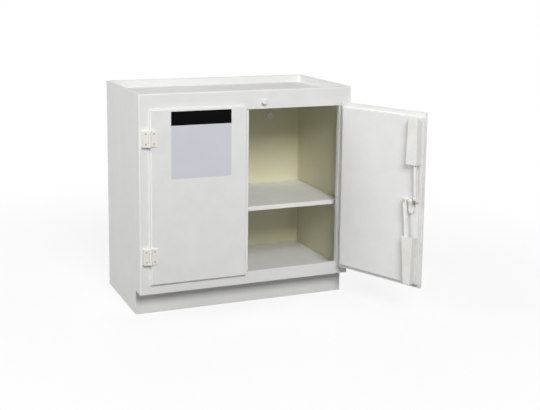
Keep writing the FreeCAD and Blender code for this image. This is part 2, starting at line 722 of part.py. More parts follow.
def stud_nut():
    """Hexagon nut on the stud, let into the back of the header."""
    body = new_body("header_stud_nut", place("stud_offset", NUT_SEAT, STUD_HEIGHT))
    outline = front_sketch(body, "nut_thickness")
    polygon(outline, [
        (NUT_CORNER, "0"),
        (f"{NUT_CORNER} / 2", "nut_flats / 2"),
        (f"-{NUT_CORNER} / 2", "nut_flats / 2"),
        (f"-{NUT_CORNER}", "0"),
        (f"-{NUT_CORNER} / 2", "-nut_flats / 2"),
        (f"{NUT_CORNER} / 2", "-nut_flats / 2"),
    ])
    circle(outline, "0", "0", "stud_tail_radius + screw_fit")
    pad(body, outline, "nut_thickness")


stud_nut()

# Hinges: each piece is made with the hinge axis as its own Z axis, its leaf to +X


def hinge_leaf(name, own, placement):
    """A leaf, cut out for the other leaf's knuckles, with its own knuckles added."""
    body = new_body(name, placement)
    half = "hinge_height / 2"
    pad_block(body, ("leaf_axis_gap", "hinge_reach"), (LEAF_FACE, LEAF_BACK), (f"-{half}", half))
    round_edges(body, "leaf_corner_radius", [
        {"x": "hinge_reach", "z": half},
        {"x": "hinge_reach", "z": f"-{half}"},
    ])
    cuts = front_sketch(body, LEAF_FACE)
    for number in range(KNUCKLES):
        if number in own:
            continue
        low = f"{number} * {KNUCKLE_PITCH} - {half}"
        span = (f"{low} - knuckle_gap", f"{low} + {KNUCKLE_PITCH}")
        rectangle(cuts, ("0", "knuckle_radius + knuckle_clearance"), span)
    pocket(body, cuts, "leaf_thickness")
    barrel = sketch_on(body, "XY_Plane", f"{own[0]} * {KNUCKLE_PITCH} - {half}")
    circle(barrel, "0", "0", "knuckle_radius")
    first = pad(body, barrel, KNUCKLE_LENGTH)
    row = body.newObject("PartDesign::LinearPattern", f"{name}_knuckles")
    row.Originals = [first]
    row.Direction = (origin_feature(body, "Z_Axis"), [""])
    row.Occurrences = len(own)
    row.setExpression("Length", bound(f"{own[-1] - own[0]} * {KNUCKLE_PITCH}"))
    body.Tip = row
    bore = sketch_on(body, "XY_Plane", half)
    circle(bore, "0", "0", "hinge_pin_radius + running_fit")
    pocket(body, bore, "hinge_height")
    points = [("leaf_screw_offset", f"{step} * leaf_screw_pitch / 2") for step in (-1, 1)]
    countersink(body, LEAF_FACE, points)


def hinge_packer(name, placement):
    """Block that brings a frame leaf level with the door's face."""
    body = new_body(name, placement)
    half = "hinge_height / 2"
    depth = (LEAF_BACK, f"{LEAF_BACK} + skin_thickness")
    pad_block(body, ("packer_inset", "hinge_reach"), depth, (f"-{half}", half))
    points = [("leaf_screw_offset", f"{step} * leaf_screw_pitch / 2") for step in (-1, 1)]
    drill(body, LEAF_BACK, points, SHANK_HOLE, "skin_thickness")


for level, height in HINGE_HEIGHTS.items():
    left_plain = place(f"-{AXIS_X}", AXIS_Y, height)
    left_turned = place(f"-{AXIS_X}", AXIS_Y, height, **UPSIDE_DOWN)
    right_plain = place(AXIS_X, AXIS_Y, height)
    right_turned = place(AXIS_X, AXIS_Y, height, **UPSIDE_DOWN)
    hinge_packer(f"left_{level}_hinge_packer", left_turned)
    hinge_packer(f"right_{level}_hinge_packer", right_plain)
    hinge_leaf(f"left_{level}_frame_leaf", FRAME_KNUCKLES, left_turned)
    hinge_leaf(f"right_{level}_frame_leaf", FRAME_KNUCKLES, right_plain)
    hinge_leaf(f"left_{level}_door_leaf", DOOR_KNUCKLES, left_plain)
    hinge_leaf(f"right_{level}_door_leaf", DOOR_KNUCKLES, f"{RIGHT_SWING} * {right_turned}")

hinge_pin = turned("hinge_pin", [
    ("0", "-hinge_height / 2 - hinge_pin_head"),
    ("knuckle_radius - 1.5 * hinge_pin_head / 2", "-hinge_height / 2 - hinge_pin_head"),
    ("knuckle_radius - hinge_pin_head / 4", "-hinge_height / 2 - hinge_pin_head / 2"),
    ("knuckle_radius - hinge_pin_head / 4", "-hinge_height / 2"),
    ("hinge_pin_radius", "-hinge_height / 2"),
    ("hinge_pin_radius", "hinge_height / 2"),
    ("knuckle_radius - hinge_pin_head / 4", "hinge_height / 2"),
    ("knuckle_radius - hinge_pin_head / 4", "hinge_height / 2 + hinge_pin_head / 2"),
    ("knuckle_radius - 1.5 * hinge_pin_head / 2", "hinge_height / 2 + hinge_pin_head"),
    ("0", "hinge_height / 2 + hinge_pin_head"),
], keep=False)
group("hinge_pins", hinge_pin, [
    place(f"{side} * {AXIS_X}", AXIS_Y, height, "1; 0; 0", "90")
    for side in (-1, 1)
    for height in HINGE_HEIGHTS.values()
])

LEAF_SCREW_Y = f"({AXIS_Y} + {LEAF_FACE})"
LEFT_LEAF_SCREWS = leaf_screw_points(-1, -1)
RIGHT_LEAF_SCREWS = leaf_screw_points(1, -1)
group("frame_leaf_screws", frame_screw, [place(x, LEAF_SCREW_Y, z) for x, z in FRAME_LEAF_SCREWS])
group("left_door_leaf_screws", door_screw, [place(x, LEAF_SCREW_Y, z) for x, z in LEFT_LEAF_SCREWS])
group(
    "right_door_leaf_screws",
    door_screw,
    [place(x, LEAF_SCREW_Y, z) for x, z in RIGHT_LEAF_SCREWS],
    RIGHT_SWING,
)

# Doors

LEAF_HOLE_DEPTH = "door_screw_length - leaf_thickness + screw_end_gap"
ROSE_HOLE_DEPTH = "door_screw_length - rose_thickness + screw_end_gap"
ROSE_SCREWS = [(HUB_X, f"latch_height + {step} * rose_screw_pitch / 2") for step in (-1, 1)]


def outer_panel(name, x, placement=None):
    """A door's outer panel, round at its four front edges."""
    body = new_body(name, placement)
    pad_block(body, x, (DOOR_FACE, FRONT), (DOOR_LOW, DOOR_HIGH))
    round_edges(body, "door_edge_radius", [
        {"y": DOOR_FACE, "x": x[0]},
        {"y": DOOR_FACE, "x": x[1]},
        {"y": DOOR_FACE, "z": DOOR_LOW},
        {"y": DOOR_FACE, "z": DOOR_HIGH},
    ])
    return body


def inner_panel(name, x, placement=None):
    """A door's inner panel, which fills the opening."""
    body = new_body(name, placement)
    pad_block(body, x, (FRONT, CORE_FACE), (CORE_LOW, CORE_HIGH))
    round_edges(body, "core_edge_radius", [
        {"y": CORE_FACE, "x": x[0]},
        {"y": CORE_FACE, "x": x[1]},
        {"y": CORE_FACE, "z": CORE_LOW},
        {"y": CORE_FACE, "z": CORE_HIGH},
    ])
    return body


left_outer = outer_panel("left_door_outer_panel", (f"-{DOOR_SIDE}", LEFT_FREE))
drill(left_outer, DOOR_FACE, LEFT_LEAF_SCREWS, SHANK_HOLE, LEAF_HOLE_DEPTH)
left_inner = inner_panel("left_door_inner_panel", (f"-{CORE_SIDE}", LEFT_LIP))

right_outer = outer_panel("right_door_outer_panel", (RIGHT_FREE, DOOR_SIDE), RIGHT_SWING)
drill(right_outer, DOOR_FACE, RIGHT_LEAF_SCREWS, SHANK_HOLE, LEAF_HOLE_DEPTH)
drill(right_outer, DOOR_FACE, ROSE_SCREWS, SHANK_HOLE, ROSE_HOLE_DEPTH)
BUSH_HOLE = f"({BUSH_RADIUS} + screw_fit)"
drill(right_outer, DOOR_FACE, [(HUB_X, "latch_height")], BUSH_HOLE, "skin_thickness")
right_inner = inner_panel("right_door_inner_panel", (RIGHT_CORE, CORE_SIDE), RIGHT_SWING)
drill(right_inner, FRONT, [(HUB_X, "latch_height")], BUSH_HOLE, "core_thickness")

# Slide bolts of the left door: made with the bolt moving to +Z, turned over below

BOLT_X = f"({LEFT_FREE} - bolt_inset)"
UPPER_HOUSING = f"({CORE_HIGH} - housing_end_gap - housing_length / 2)"
LOWER_HOUSING = f"({CORE_LOW} + housing_end_gap + housing_length / 2)"
BOLT_TIP = f"({OPEN_HIGH} - bolt_rest_gap - {UPPER_HOUSING})"
HOUSING_HALF = "(bolt_radius + bolt_fit + housing_wall)"
FLANGE_HALF = f"({HOUSING_HALF} + housing_flange_width)"
FLANGE_MIDDLE = f"({HOUSING_HALF} + housing_flange_width / 2)"
HOUSING_SCREWS = [
    (f"{side} * {FLANGE_MIDDLE}", f"{step} * housing_screw_pitch / 2")
    for side in (-1, 1)
    for step in (-1, 1)
]


def bolt_housing(name, placement):
    """Flanged housing with a round back, bored for the bolt and slotted for its knob."""
    body = new_body(name, placement)
    half = "housing_length / 2"
    ends = (f"-{half}", half)
    pad_block(body, (f"-{FLANGE_HALF}", FLANGE_HALF), ("0", "housing_flange_thickness"), ends)
    pad_block(body, (f"-{HOUSING_HALF}", HOUSING_HALF), ("0", "bolt_offset"), ends)
    dome = sketch_on(body, "XY_Plane", f"-{half}")
    circle(dome, "0", "bolt_offset", HOUSING_HALF)
    pad(body, dome, "housing_length")
    bore = sketch_on(body, "XY_Plane", half)
    circle(bore, "0", "bolt_offset", "bolt_radius + bolt_fit")
    pocket(body, bore, "housing_length")
    slot = front_sketch(body, "bolt_offset")
    width = "knob_stem_radius + bolt_fit"
    capsule(slot, ("0", "-bolt_travel / 2"), width, ("0", "bolt_travel / 2"), width)
    pocket(body, slot, f"{HOUSING_HALF} + bolt_fit")
    drill(body, "0", HOUSING_SCREWS, SHANK_HOLE, "housing_flange_thickness")


def slide_bolt(name, placement):
    """Round bolt with a knob on a stem."""
    body = new_body(name, placement)
    tip = BOLT_TIP
    shaft = sketch_on(body, "XY_Plane", f"{tip} - bolt_length")
    circle(shaft, "0", "bolt_offset", "bolt_radius")
    pad(body, shaft, "bolt_length")
    round_edges(body, "bolt_tip_radius", [{"z": tip}])
    knob = [("0", "-bolt_travel / 2")]
    pad_disc(body, ("bolt_offset", "knob_reach"), knob, "knob_stem_radius")
    pad_disc(body, ("knob_reach - knob_thickness", "knob_reach"), knob, "knob_radius")


BOLT_PLACES = {
    "upper": place(BOLT_X, CORE_FACE, UPPER_HOUSING),
    "lower": place(BOLT_X, CORE_FACE, LOWER_HOUSING, **UPSIDE_DOWN),
}
for level, where in BOLT_PLACES.items():
    bolt_housing(f"{level}_bolt_housing", where)
    slide_bolt(f"{level}_slide_bolt", where)

HOUSING_SCREW_Y = f"({CORE_FACE} + housing_flange_thickness)"
HOUSING_CENTRES = [
    (f"{BOLT_X} + {x}", f"{middle} + {z}")
    for middle in (UPPER_HOUSING, LOWER_HOUSING)
    for x, z in HOUSING_SCREWS
]
group("bolt_housing_screws", housing_screw, [
    place(x, HOUSING_SCREW_Y, z, angle="180") for x, z in HOUSING_CENTRES
])
PILOT_DEPTH = f"({HOUSING_SCREW_LENGTH} - housing_flange_thickness + screw_end_gap)"
drill(left_inner, f"{CORE_FACE} - {PILOT_DEPTH}", HOUSING_CENTRES, SHANK_HOLE, PILOT_DEPTH)

# Spindle, bush and outside lever. Latch pieces are made about the latch axis, with
# y=0 at the door's inner face, -X towards the free edge, and the latch drawn back.

turned("spindle_bush", [
    (SPINDLE_BORE, f"-{PANELS} - bush_flange_thickness"),
    (BUSH_FLANGE, f"-{PANELS} - bush_flange_thickness"),
    (BUSH_FLANGE, f"-{PANELS}"),
    (BUSH_RADIUS, f"-{PANELS}"),
    (BUSH_RADIUS, "0"),
    (SPINDLE_BORE, "0"),
], LATCH)

handle_rose = turned("handle_rose", [
    ("spindle_radius + axial_gap", f"-{PANELS} - rose_thickness"),
    ("rose_radius - rose_bevel", f"-{PANELS} - rose_thickness"),
    ("rose_radius", f"rose_bevel - {PANELS} - rose_thickness"),
    ("rose_radius", f"-{PANELS}"),
    (f"{BUSH_FLANGE} + screw_fit", f"-{PANELS}"),
    (f"{BUSH_FLANGE} + screw_fit", f"-{PANELS} - bush_flange_thickness"),
    ("spindle_radius + axial_gap", f"-{PANELS} - bush_flange_thickness"),
], LATCH)
countersink(
    handle_rose,
    f"-{PANELS} - rose_thickness",
    [("0", f"{step} * rose_screw_pitch / 2") for step in (-1, 1)],
)
group(
    "rose_screws",
    door_screw,
    [place(x, f"{DOOR_FACE} - rose_thickness", z) for x, z in ROSE_SCREWS],
    RIGHT_SWING,
)

turned("cam_washer", [
    (SPINDLE_BORE, "0"),
    ("cam_hub_radius", "0"),
    ("cam_hub_radius", "cam_washer_thickness"),
    (SPINDLE_BORE, "cam_washer_thickness"),
], LATCH)


def spindle():
    """Round in the bush, square in the lever and in the cam, tapped at both ends."""
    body = new_body("spindle", LATCH)
    flat = "spindle_square / 2"
    square = (f"-{flat}", flat)
    outer_end = f"-{LEVER_BACK} - spindle_grip + axial_gap"
    inner_end = f"{HUB_FACE} - axial_gap"
    pad_disc(body, (f"-{LEVER_BACK}", "cam_washer_thickness"), [("0", "0")], "spindle_radius")
    pad_block(body, square, (outer_end, f"-{LEVER_BACK}"), square)
    pad_block(body, square, ("cam_washer_thickness", inner_end), square)
    drill(body, outer_end, [("0", "0")], SHANK_HOLE, END_HOLE_DEPTH)
    drill(body, f"{inner_end} - {END_HOLE_DEPTH}", [("0", "0")], SHANK_HOLE, END_HOLE_DEPTH)


spindle()


def lever_handle():
    """Tapered lever, level when the latch is drawn back and hanging when it holds."""
    body = new_body("lever_handle", LATCH)
    outline = front_sketch(body, f"-{LEVER_BACK}")
    capsule(outline, ("0", "0"), "lever_hub_radius", ("lever_length", "0"), "lever_tip_radius")
    pad(body, outline, "lever_thickness")
    round_edges(body, "lever_edge_radius", [
        {"y": f"-{LEVER_BACK}"},
        {"y": f"-{LEVER_BACK} - lever_thickness"},
    ])
    flat = "spindle_square / 2"
    square = front_sketch(body, f"-{LEVER_BACK} - spindle_grip")
    rectangle(square, (f"-{flat}", flat), (f"-{flat}", flat))
    pocket(body, square, "spindle_grip")
    drill(body, f"-{LEVER_BACK} - lever_thickness", [("0", "0")], SHANK_HOLE, "lever_thickness")


lever_handle()


def end_screw(name, seat, outward):
    """Screw in an end of the spindle; outward is the sign of y from its seat."""
    inner = f"{seat} - {outward} * end_screw_length"
    middle = f"{seat} + {outward} * screw_head_height / 2"
    crown = f"{seat} + {outward} * screw_head_height"
    turned(name, [
        ("0", crown),
        ("end_screw_head_radius - screw_head_height / 2", crown),
        ("end_screw_head_radius", middle),
        ("end_screw_head_radius", seat),
        ("screw_shank_radius", seat),
        ("screw_shank_radius", inner),
        ("0", inner),
    ], LATCH)


end_screw("cam_screw", HUB_FACE, 1)
end_screw("lever_screw", f"-{LEVER_BACK} - lever_thickness", -1)

# Three-point latch

CRANKS = [("-crank_radius", "0"), ("crank_radius", "0")]


def latch_cam():
    """Tongue and tail in one bar, crossed by the arms that carry the crank pins."""
    body = new_body("latch_cam", LATCH)
    half = "cam_bar_width / 2"
    bar = front_sketch(body, CAM_FACE)
    capsule(bar, ("0", f"{half} - tongue_length"), half, ("0", f"cam_tail_length - {half}"), half)
    pad(body, bar, "cam_thickness")
    arms = front_sketch(body, CAM_FACE)
    capsule(arms, CRANKS[0], "crank_boss_radius", CRANKS[1], "crank_boss_radius")
    pad(body, arms, "cam_thickness")
    round_edges(body, "cam_corner_radius", [
        {"x": f"{across} * {half}", "z": f"{along} * crank_boss_radius"}
        for across in (-1, 1)
        for along in (-1, 1)
    ])
    pad_disc(body, (CAM_FACE, HUB_FACE), [("0", "0")], "cam_hub_radius")
    pad_disc(body, (CAM_FACE, TANG_NEAR), CRANKS, "crank_pin_radius + crank_boss_radius / 3")
    flat = "spindle_square / 2"
    square = front_sketch(body, "cam_washer_thickness")
    rectangle(square, (f"-{flat}", flat), (f"-{flat}", flat))
    pocket(body, square, "cam_thickness + cam_hub_height")
    depth = f"{TANG_NEAR} - cam_washer_thickness"
    drill(body, "cam_washer_thickness", CRANKS, "crank_pin_radius + screw_fit", depth)


latch_cam()

crank_pin = turned("crank_pin", [
    ("0", "cam_washer_thickness"),
    ("crank_pin_radius", "cam_washer_thickness"),
    ("crank_pin_radius", TANG_FAR),
    ("crank_head_radius", TANG_FAR),
    ("crank_head_radius", f"{TANG_FAR} + crank_head_thickness / 2"),
    ("crank_head_radius - crank_head_thickness / 2", f"{TANG_FAR} + crank_head_thickness"),
    ("0", f"{TANG_FAR} + crank_head_thickness"),
], keep=False)
group("crank_pins", crank_pin, [place(x, "0", z) for x, z in CRANKS], LATCH)


def latch_rod(name, length, placement):
    """Round rod from its pin at the origin to +Z, with a flat eye and a round tip."""
    body = new_body(name, placement)
    bar = sketch_on(body, "XY_Plane", "0")
    circle(bar, "0", "0", "rod_radius")
    pad(body, bar, length)
    round_edges(body, "rod_tip_radius", [{"z": length}])
    for side in (-1, 1):
        flats = sketch_on(body, "YZ_Plane", "0")
        inner = f"{side} * rod_tang_thickness / 2"
        outer = f"{side} * (rod_radius + axial_gap)"
        rectangle(flats, (inner, outer), ("-axial_gap", "rod_tang_length"))
        pocket_both_ways(body, flats, "4 * rod_radius")
    half = "rod_tang_thickness / 2"
    pad_disc(body, (f"-{half}", half), [("0", "0")], "rod_radius")
    drill(body, f"-{half}", [("0", "0")], "crank_pin_radius + running_fit", "rod_tang_thickness")


UPPER_ROD = f"({OPEN_HIGH} + rod_engagement - latch_height - crank_radius)"
LOWER_ROD = f"(latch_height - crank_radius - {OPEN_LOW} + rod_engagement)"
AT_UPPER_PIN = place("-crank_radius", "rod_offset", "0", "0; 1; 0", UPPER_LEAN)
AT_LOWER_PIN = place("crank_radius", "rod_offset", "0", "0; 1; 0", f"180 deg + {LOWER_LEAN}")
latch_rod("upper_rod", UPPER_ROD, f"{LATCH} * {AT_UPPER_PIN}")
latch_rod("lower_rod", LOWER_ROD, f"{LATCH} * {AT_LOWER_PIN}")

GUIDE_HEIGHT = "(rod_offset + rod_radius + guide_play + guide_wall)"
SLOT_RADIUS = "(rod_radius + guide_play)"


def rod_guide(name, up, length, nose, mouth_x, nose_x, slot_x):
    """Tapered channel, open to the door and at its mouth, slotted at its nose.

    up is 1 for a nose at the top and -1 for one at the bottom. The slot runs
    between the rod's places at rest and at mid-turn.
    """
    body = new_body(name, LATCH)
    mouth = f"({nose} - {up} * {length})"
    outline = front_sketch(body, GUIDE_HEIGHT)
    polygon(outline, [
        (mouth_x[0], mouth),
        (mouth_x[1], mouth),
        (nose_x[1], nose),
        (nose_x[0], nose),
    ])
    pad(body, outline, GUIDE_HEIGHT)
    round_edges(body, "guide_corner_radius", [{"x": x, "z": nose} for x in nose_x])
    round_edges(body, "guide_edge_radius", [{"y": GUIDE_HEIGHT}])
    cavity = front_sketch(body, "0")
    inner_nose = f"{nose} - {up} * guide_wall"
    outer_mouth = f"{mouth} - {up} * guide_wall"
    polygon(cavity, [
        (f"{mouth_x[0]} + guide_wall", outer_mouth),
        (f"{mouth_x[1]} - guide_wall", outer_mouth),
        (f"{nose_x[1]} - guide_wall", inner_nose),
        (f"{nose_x[0]} + guide_wall", inner_nose),
    ])
    pocket(body, cavity, f"{GUIDE_HEIGHT} - guide_wall")
    outside = f"{nose} + ({1 + up} * guide_wall + guide_play) / 2"
    slot = sketch_on(body, "XY_Plane", outside if up > 0 else f"{nose} + 1.5 * guide_wall")
    ends = [(x, "rod_offset") for x in slot_x]
    capsule(slot, ends[0], SLOT_RADIUS, ends[1], SLOT_RADIUS)
    pocket(body, slot, "2 * guide_wall + guide_play")


UPPER_SLOT = (f"-{HALF_TURN} - {UPPER_DRIFT}", "-upper_nose_reach")
LOWER_SLOT = ("-lower_nose_reach", f"{HALF_TURN} - {LOWER_DRIFT}")
NOSE_EDGE = f"({SLOT_RADIUS} + guide_wall)"
rod_guide(
    "upper_rod_guide",
    1,
    "upper_guide_length",
    UPPER_NOSE,
    ("-crank_radius - rod_radius", "rod_radius + guide_play + upper_mouth_margin"),
    (f"{UPPER_SLOT[0]} - {NOSE_EDGE}", f"{UPPER_SLOT[1]} + {NOSE_EDGE} + upper_nose_margin"),
    UPPER_SLOT,
)
rod_guide(
    "lower_rod_guide",
    -1,
    "lower_guide_length",
    LOWER_NOSE,
    ("-crank_radius - guide_play", "crank_radius + guide_play"),
    (f"{LOWER_SLOT[0]} - {NOSE_EDGE} - lower_nose_margin", f"{LOWER_SLOT[1]} + {NOSE_EDGE}"),
    LOWER_SLOT,
)

# Checks and files

doc.recompute()
for member in doc.Objects:
    if {"Invalid", "Error"} & set(member.State):
        raise RuntimeError(f"{member.Name} did not build: {member.State}")

os.makedirs("parts", exist_ok=True)
for piece in pieces:
    if piece.Shape.isNull() or not piece.Shape.isValid():
        raise RuntimeError(f"{piece.Label} has no valid shape")
    piece.Shape.exportStep(f"parts/{piece.Label}.step")
print(len(pieces), "sub-parts")
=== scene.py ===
# %% [markdown]
# # A plastic safety cabinet with one door open
#
# The real cabinet is made of thick white plastic sheet, sawn, routed and welded with
# hot plastic rod. Nothing on it is metal, because acid vapour eats metal. All of it
# could be modelled here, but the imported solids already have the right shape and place.
# So this lesson starts from them and adds only what a renderer needs: surfaces, weld
# beads, screw slots, a bare sign plate, light and a camera.

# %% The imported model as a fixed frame
import json
import math
import random

import bmesh
import bpy
from mathutils import Matrix, Vector


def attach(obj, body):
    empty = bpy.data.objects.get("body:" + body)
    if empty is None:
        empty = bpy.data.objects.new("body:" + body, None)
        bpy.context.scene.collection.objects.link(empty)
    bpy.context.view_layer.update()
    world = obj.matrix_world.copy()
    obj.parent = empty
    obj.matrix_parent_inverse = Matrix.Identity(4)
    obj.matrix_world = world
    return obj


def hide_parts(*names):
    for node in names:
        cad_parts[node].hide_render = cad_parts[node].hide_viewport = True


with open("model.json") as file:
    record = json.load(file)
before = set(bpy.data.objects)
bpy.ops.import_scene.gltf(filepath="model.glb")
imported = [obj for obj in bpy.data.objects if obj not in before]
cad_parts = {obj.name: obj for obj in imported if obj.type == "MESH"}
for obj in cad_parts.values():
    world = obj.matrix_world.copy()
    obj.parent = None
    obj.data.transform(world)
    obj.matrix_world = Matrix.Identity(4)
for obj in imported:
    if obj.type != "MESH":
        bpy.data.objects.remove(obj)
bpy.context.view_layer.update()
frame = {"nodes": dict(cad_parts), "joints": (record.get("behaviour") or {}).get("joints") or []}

# %% [markdown]
# ## Units and colours
#
# Blender works in metres, a joiner in millimetres, so one factor turns one into the
# other. Colours are written as the hex values that a colour picker shows. The shader
# wants linear light. The values could be typed in already converted, but then nobody
# could read them, so one function converts them along the sRGB curve.

# %% Millimetres and hex colours
MM = 0.001
WHITE = (1.0, 1.0, 1.0, 1.0)


def linear(hex_colour):
    """A hex colour as linear red, green, blue and alpha."""
    channels = [int(hex_colour[place:place + 2], 16) / 255 for place in (1, 3, 5)]
    bright = [c / 12.92 if c <= 0.04045 else ((c + 0.055) / 1.055) ** 2.4 for c in channels]
    return (*bright, 1.0)


print("mid grey is", round(linear("#808080")[0], 3), "in linear light")

# %% [markdown]
# ## One function for nodes
#
# A material is a small network of nodes. Setting each up takes the same three steps:
# create it, set its options, then give each input a number or another node's output.
# Written out in full, that hides what a finish is made of. One function that does all
# three keeps every material below short and readable.
#
# Inputs go by name where the name is unique. Math and Mix nodes repeat theirs, so
# those go by number: a Mix node's two colours are inputs 6 and 7, its blend output 2.

# %% Add a node
COLOUR_A, COLOUR_B, COLOUR_OUT = 6, 7, 2


def node(tree, kind, settings=(), inputs=()):
    """A new node; each input takes a plain value or another node's output socket."""
    made = tree.nodes.new(kind)
    for name, setting in dict(settings).items():
        setattr(made, name, setting)
    for name, given in dict(inputs).items():
        if isinstance(given, bpy.types.NodeSocket):
            tree.links.new(given, made.inputs[name])
        else:
            made.inputs[name].default_value = given
    return made


def per_metre(size_mm):
    """The scale of a noise whose grain has this real size."""
    return 1 / (size_mm * MM)


print("a 2.5 mm grain needs a noise scale of", per_metre(2.5))

# %% [markdown]
# ## Starting and reusing a material
#
# Every finish starts from an empty network. Some finishes are another one with a
# single change, such as sheet with a second colour inside the cabinet. Copying the
# whole network would double the work, so the finished one is made first and the node
# to change is looked up in it.

# %% Blank material and node look-up


def blank_material(name):
    """A new material and its emptied network."""
    material = bpy.data.materials.new(name)
    material.use_nodes = True
    material.node_tree.nodes.clear()
    return material, material.node_tree


def found(tree, kind):
    """The first node of a kind in a finished network."""
    return next(item for item in tree.nodes if item.type == kind)


print("materials so far:", len(bpy.data.materials))

# %% [markdown]
# ## Camera
#
# The camera stands left of the cabinet and above it, with a long lens. It could be
# placed by eye, but then no edge would fall quite where the photograph has it. Its
# place, turn and lens were therefore solved from the corners of the cabinet. A small
# downward shift keeps the uprights nearly upright, as a product photographer does.

# %% Camera from the photograph
FOCAL_MM = 67.152
SENSOR_MM = 36
SHIFT_X, SHIFT_Y = -0.0016, -0.1204
CAMERA_PLACE = Vector((-1.47555, -3.97657, 1.37170))
HEADING, PITCH, ROLL = (math.radians(angle) for angle in (-22.8778, -9.5087, -0.6643))

lens = bpy.data.cameras.new("camera")
lens.lens = FOCAL_MM
lens.sensor_width = SENSOR_MM
lens.shift_x = SHIFT_X
lens.shift_y = SHIFT_Y
camera = bpy.data.objects.new("camera", lens)
turn = Matrix.Rotation(HEADING, 4, "Z") @ Matrix.Rotation(PITCH, 4, "X")
turn = turn @ Matrix.Rotation(ROLL, 4, "Y") @ Matrix.Rotation(math.pi / 2, 4, "X")
camera.matrix_world = Matrix.Translation(CAMERA_PLACE) @ turn
bpy.context.scene.collection.objects.link(camera)
bpy.context.scene.camera = camera
print("camera is", round(CAMERA_PLACE.length, 2), "m from the cabinet's foot")

# %% [markdown]
# ## Studio lamps
#
# White plastic shows its form only through gentle changes of grey. One bright lamp
# would give hard black shadows and an even sky none at all, so four soft square lamps
# share the work. The key hangs high in front, a little left of the middle: it lights
# the face, and the header and the sill throw its shadow. One far to the left keeps the
# left side and the inside of the open door almost as bright as the face. The strengths
# were fitted lamp by lamp to the greys of the real cabinet.
#
# Two more, behind and at the right, light the sides that the camera doesn't see, so
# that the cabinet looks as pale from there. They stand low, so that the rim keeps them
# off the work top, and make no highlights: at a grazing angle the rear one would glare.

# %% Lamps
bpy.context.scene.view_settings.view_transform = "Standard"
LAMP_AIM = Vector((0.1, -0.2, 0.45))

# name: place and width in metres, watts, and whether it shows in highlights
LAMPS = {
    "key_lamp": ((-0.5, -4.6, 3.4), 1.8, 198, True),
    "left_lamp": ((-4.2, -0.2, 2.6), 2.2, 106, True),
    "rear_lamp": ((0.6, 5.0, 0.85), 1.6, 150, False),
    "right_lamp": ((4.9, 0.5, 0.85), 1.6, 125, False),
}


def soft_lamp(name, place, width, watts, in_highlights):
    """A square lamp at a place, turned to face the cabinet."""
    light = bpy.data.lights.new(name, "AREA")
    light.energy = watts
    light.size = width
    lamp = bpy.data.objects.new(name, light)
    lamp.location = place
    lamp.rotation_euler = (LAMP_AIM - Vector(place)).to_track_quat("-Z", "Y").to_euler()
    lamp.visible_glossy = in_highlights
    bpy.context.scene.collection.objects.link(lamp)


for name, (place, width, watts, in_highlights) in LAMPS.items():
    soft_lamp(name, place, width, watts, in_highlights)
print("lamps:", ", ".join(LAMPS))

# %% [markdown]
# ## Sky
#
# A weak sky fills the shadows. Made strong enough to look white, it would wash the
# form away. So it is pure white only to the camera and to reflections, and a faint
# grey to light that bounces: the background is bright and never brightens the cabinet.

# %% White sky with a weak fill
SKY_FILL = 0.13

world = bpy.data.worlds.new("studio")
world.use_nodes = True
bpy.context.scene.world = world
sky = world.node_tree
sky.nodes.clear()


def seen_directly(tree):
    """1 for a ray from the camera or from a reflection or glass, 0 for bounced light."""
    ray = node(tree, "ShaderNodeLightPath")
    looked = node(tree, "ShaderNodeMath", {"operation": "MAXIMUM"}, {
        0: ray.outputs["Is Camera Ray"],
        1: ray.outputs["Is Glossy Ray"],
    })
    through = node(tree, "ShaderNodeMath", {"operation": "MAXIMUM"}, {
        0: looked.outputs[0],
        1: ray.outputs["Is Transmission Ray"],
    })
    return through.outputs[0]


strength = node(sky, "ShaderNodeMix", {"data_type": "FLOAT"}, {
    "Factor": seen_directly(sky),
    "A": SKY_FILL,
    "B": 1.0,
})
backdrop = node(sky, "ShaderNodeBackground", (), {
    "Color": WHITE,
    "Strength": strength.outputs["Result"],
})
node(sky, "ShaderNodeOutputWorld", (), {"Surface": backdrop.outputs[0]})
print("sky fill", SKY_FILL)

# %% [markdown]
# ## Floor
#
# A wide pale sheet under the cabinet takes its shadow. A square would show its corners
# against the sky from some side, so it is a round sheet, many times wider than the
# cabinet and a hair below its foot, so that the two never lie in one plane.

# %% Floor sheet
FLOOR_RADIUS = 9.0
FLOOR_SIDES = 96
FLOOR_LEVEL = -0.0005

rim = []
for step in range(FLOOR_SIDES):
    angle = 2 * math.pi * step / FLOOR_SIDES
    rim.append((FLOOR_RADIUS * math.cos(angle), FLOOR_RADIUS * math.sin(angle), FLOOR_LEVEL))
floor_mesh = bpy.data.meshes.new("floor")
floor_mesh.from_pydata(rim, [], [tuple(range(FLOOR_SIDES))])
floor = bpy.data.objects.new("floor", floor_mesh)
bpy.context.scene.collection.objects.link(floor)
print("floor is", 2 * FLOOR_RADIUS, "m across")

# %% [markdown]
# ## Painted paper
#
# The sheet is studio paper with a coat of matt paint. Plain white paint would turn
# grey away from the lamps, and more light would spoil the cabinet. So to the camera and
# to reflections the sheet also gives a little light of its own, and more of it further
# out, until it melts into the white sky. To light that bounces it is a darker grey, so
# that the underside and the toe space of the cabinet stay in shade, as they do on a
# real floor.

# %% Floor material
PAPER_GRAIN_MM = 3
PAPER_FACE, PAPER_SHADE, BOUNCE_GREY = "#F6F6F4", "#F1F1EF", "#8C8C8A"
FADE_START, FADE_END = 0.9, 2.6
GLOW_UNDER_CABINET = 0.80

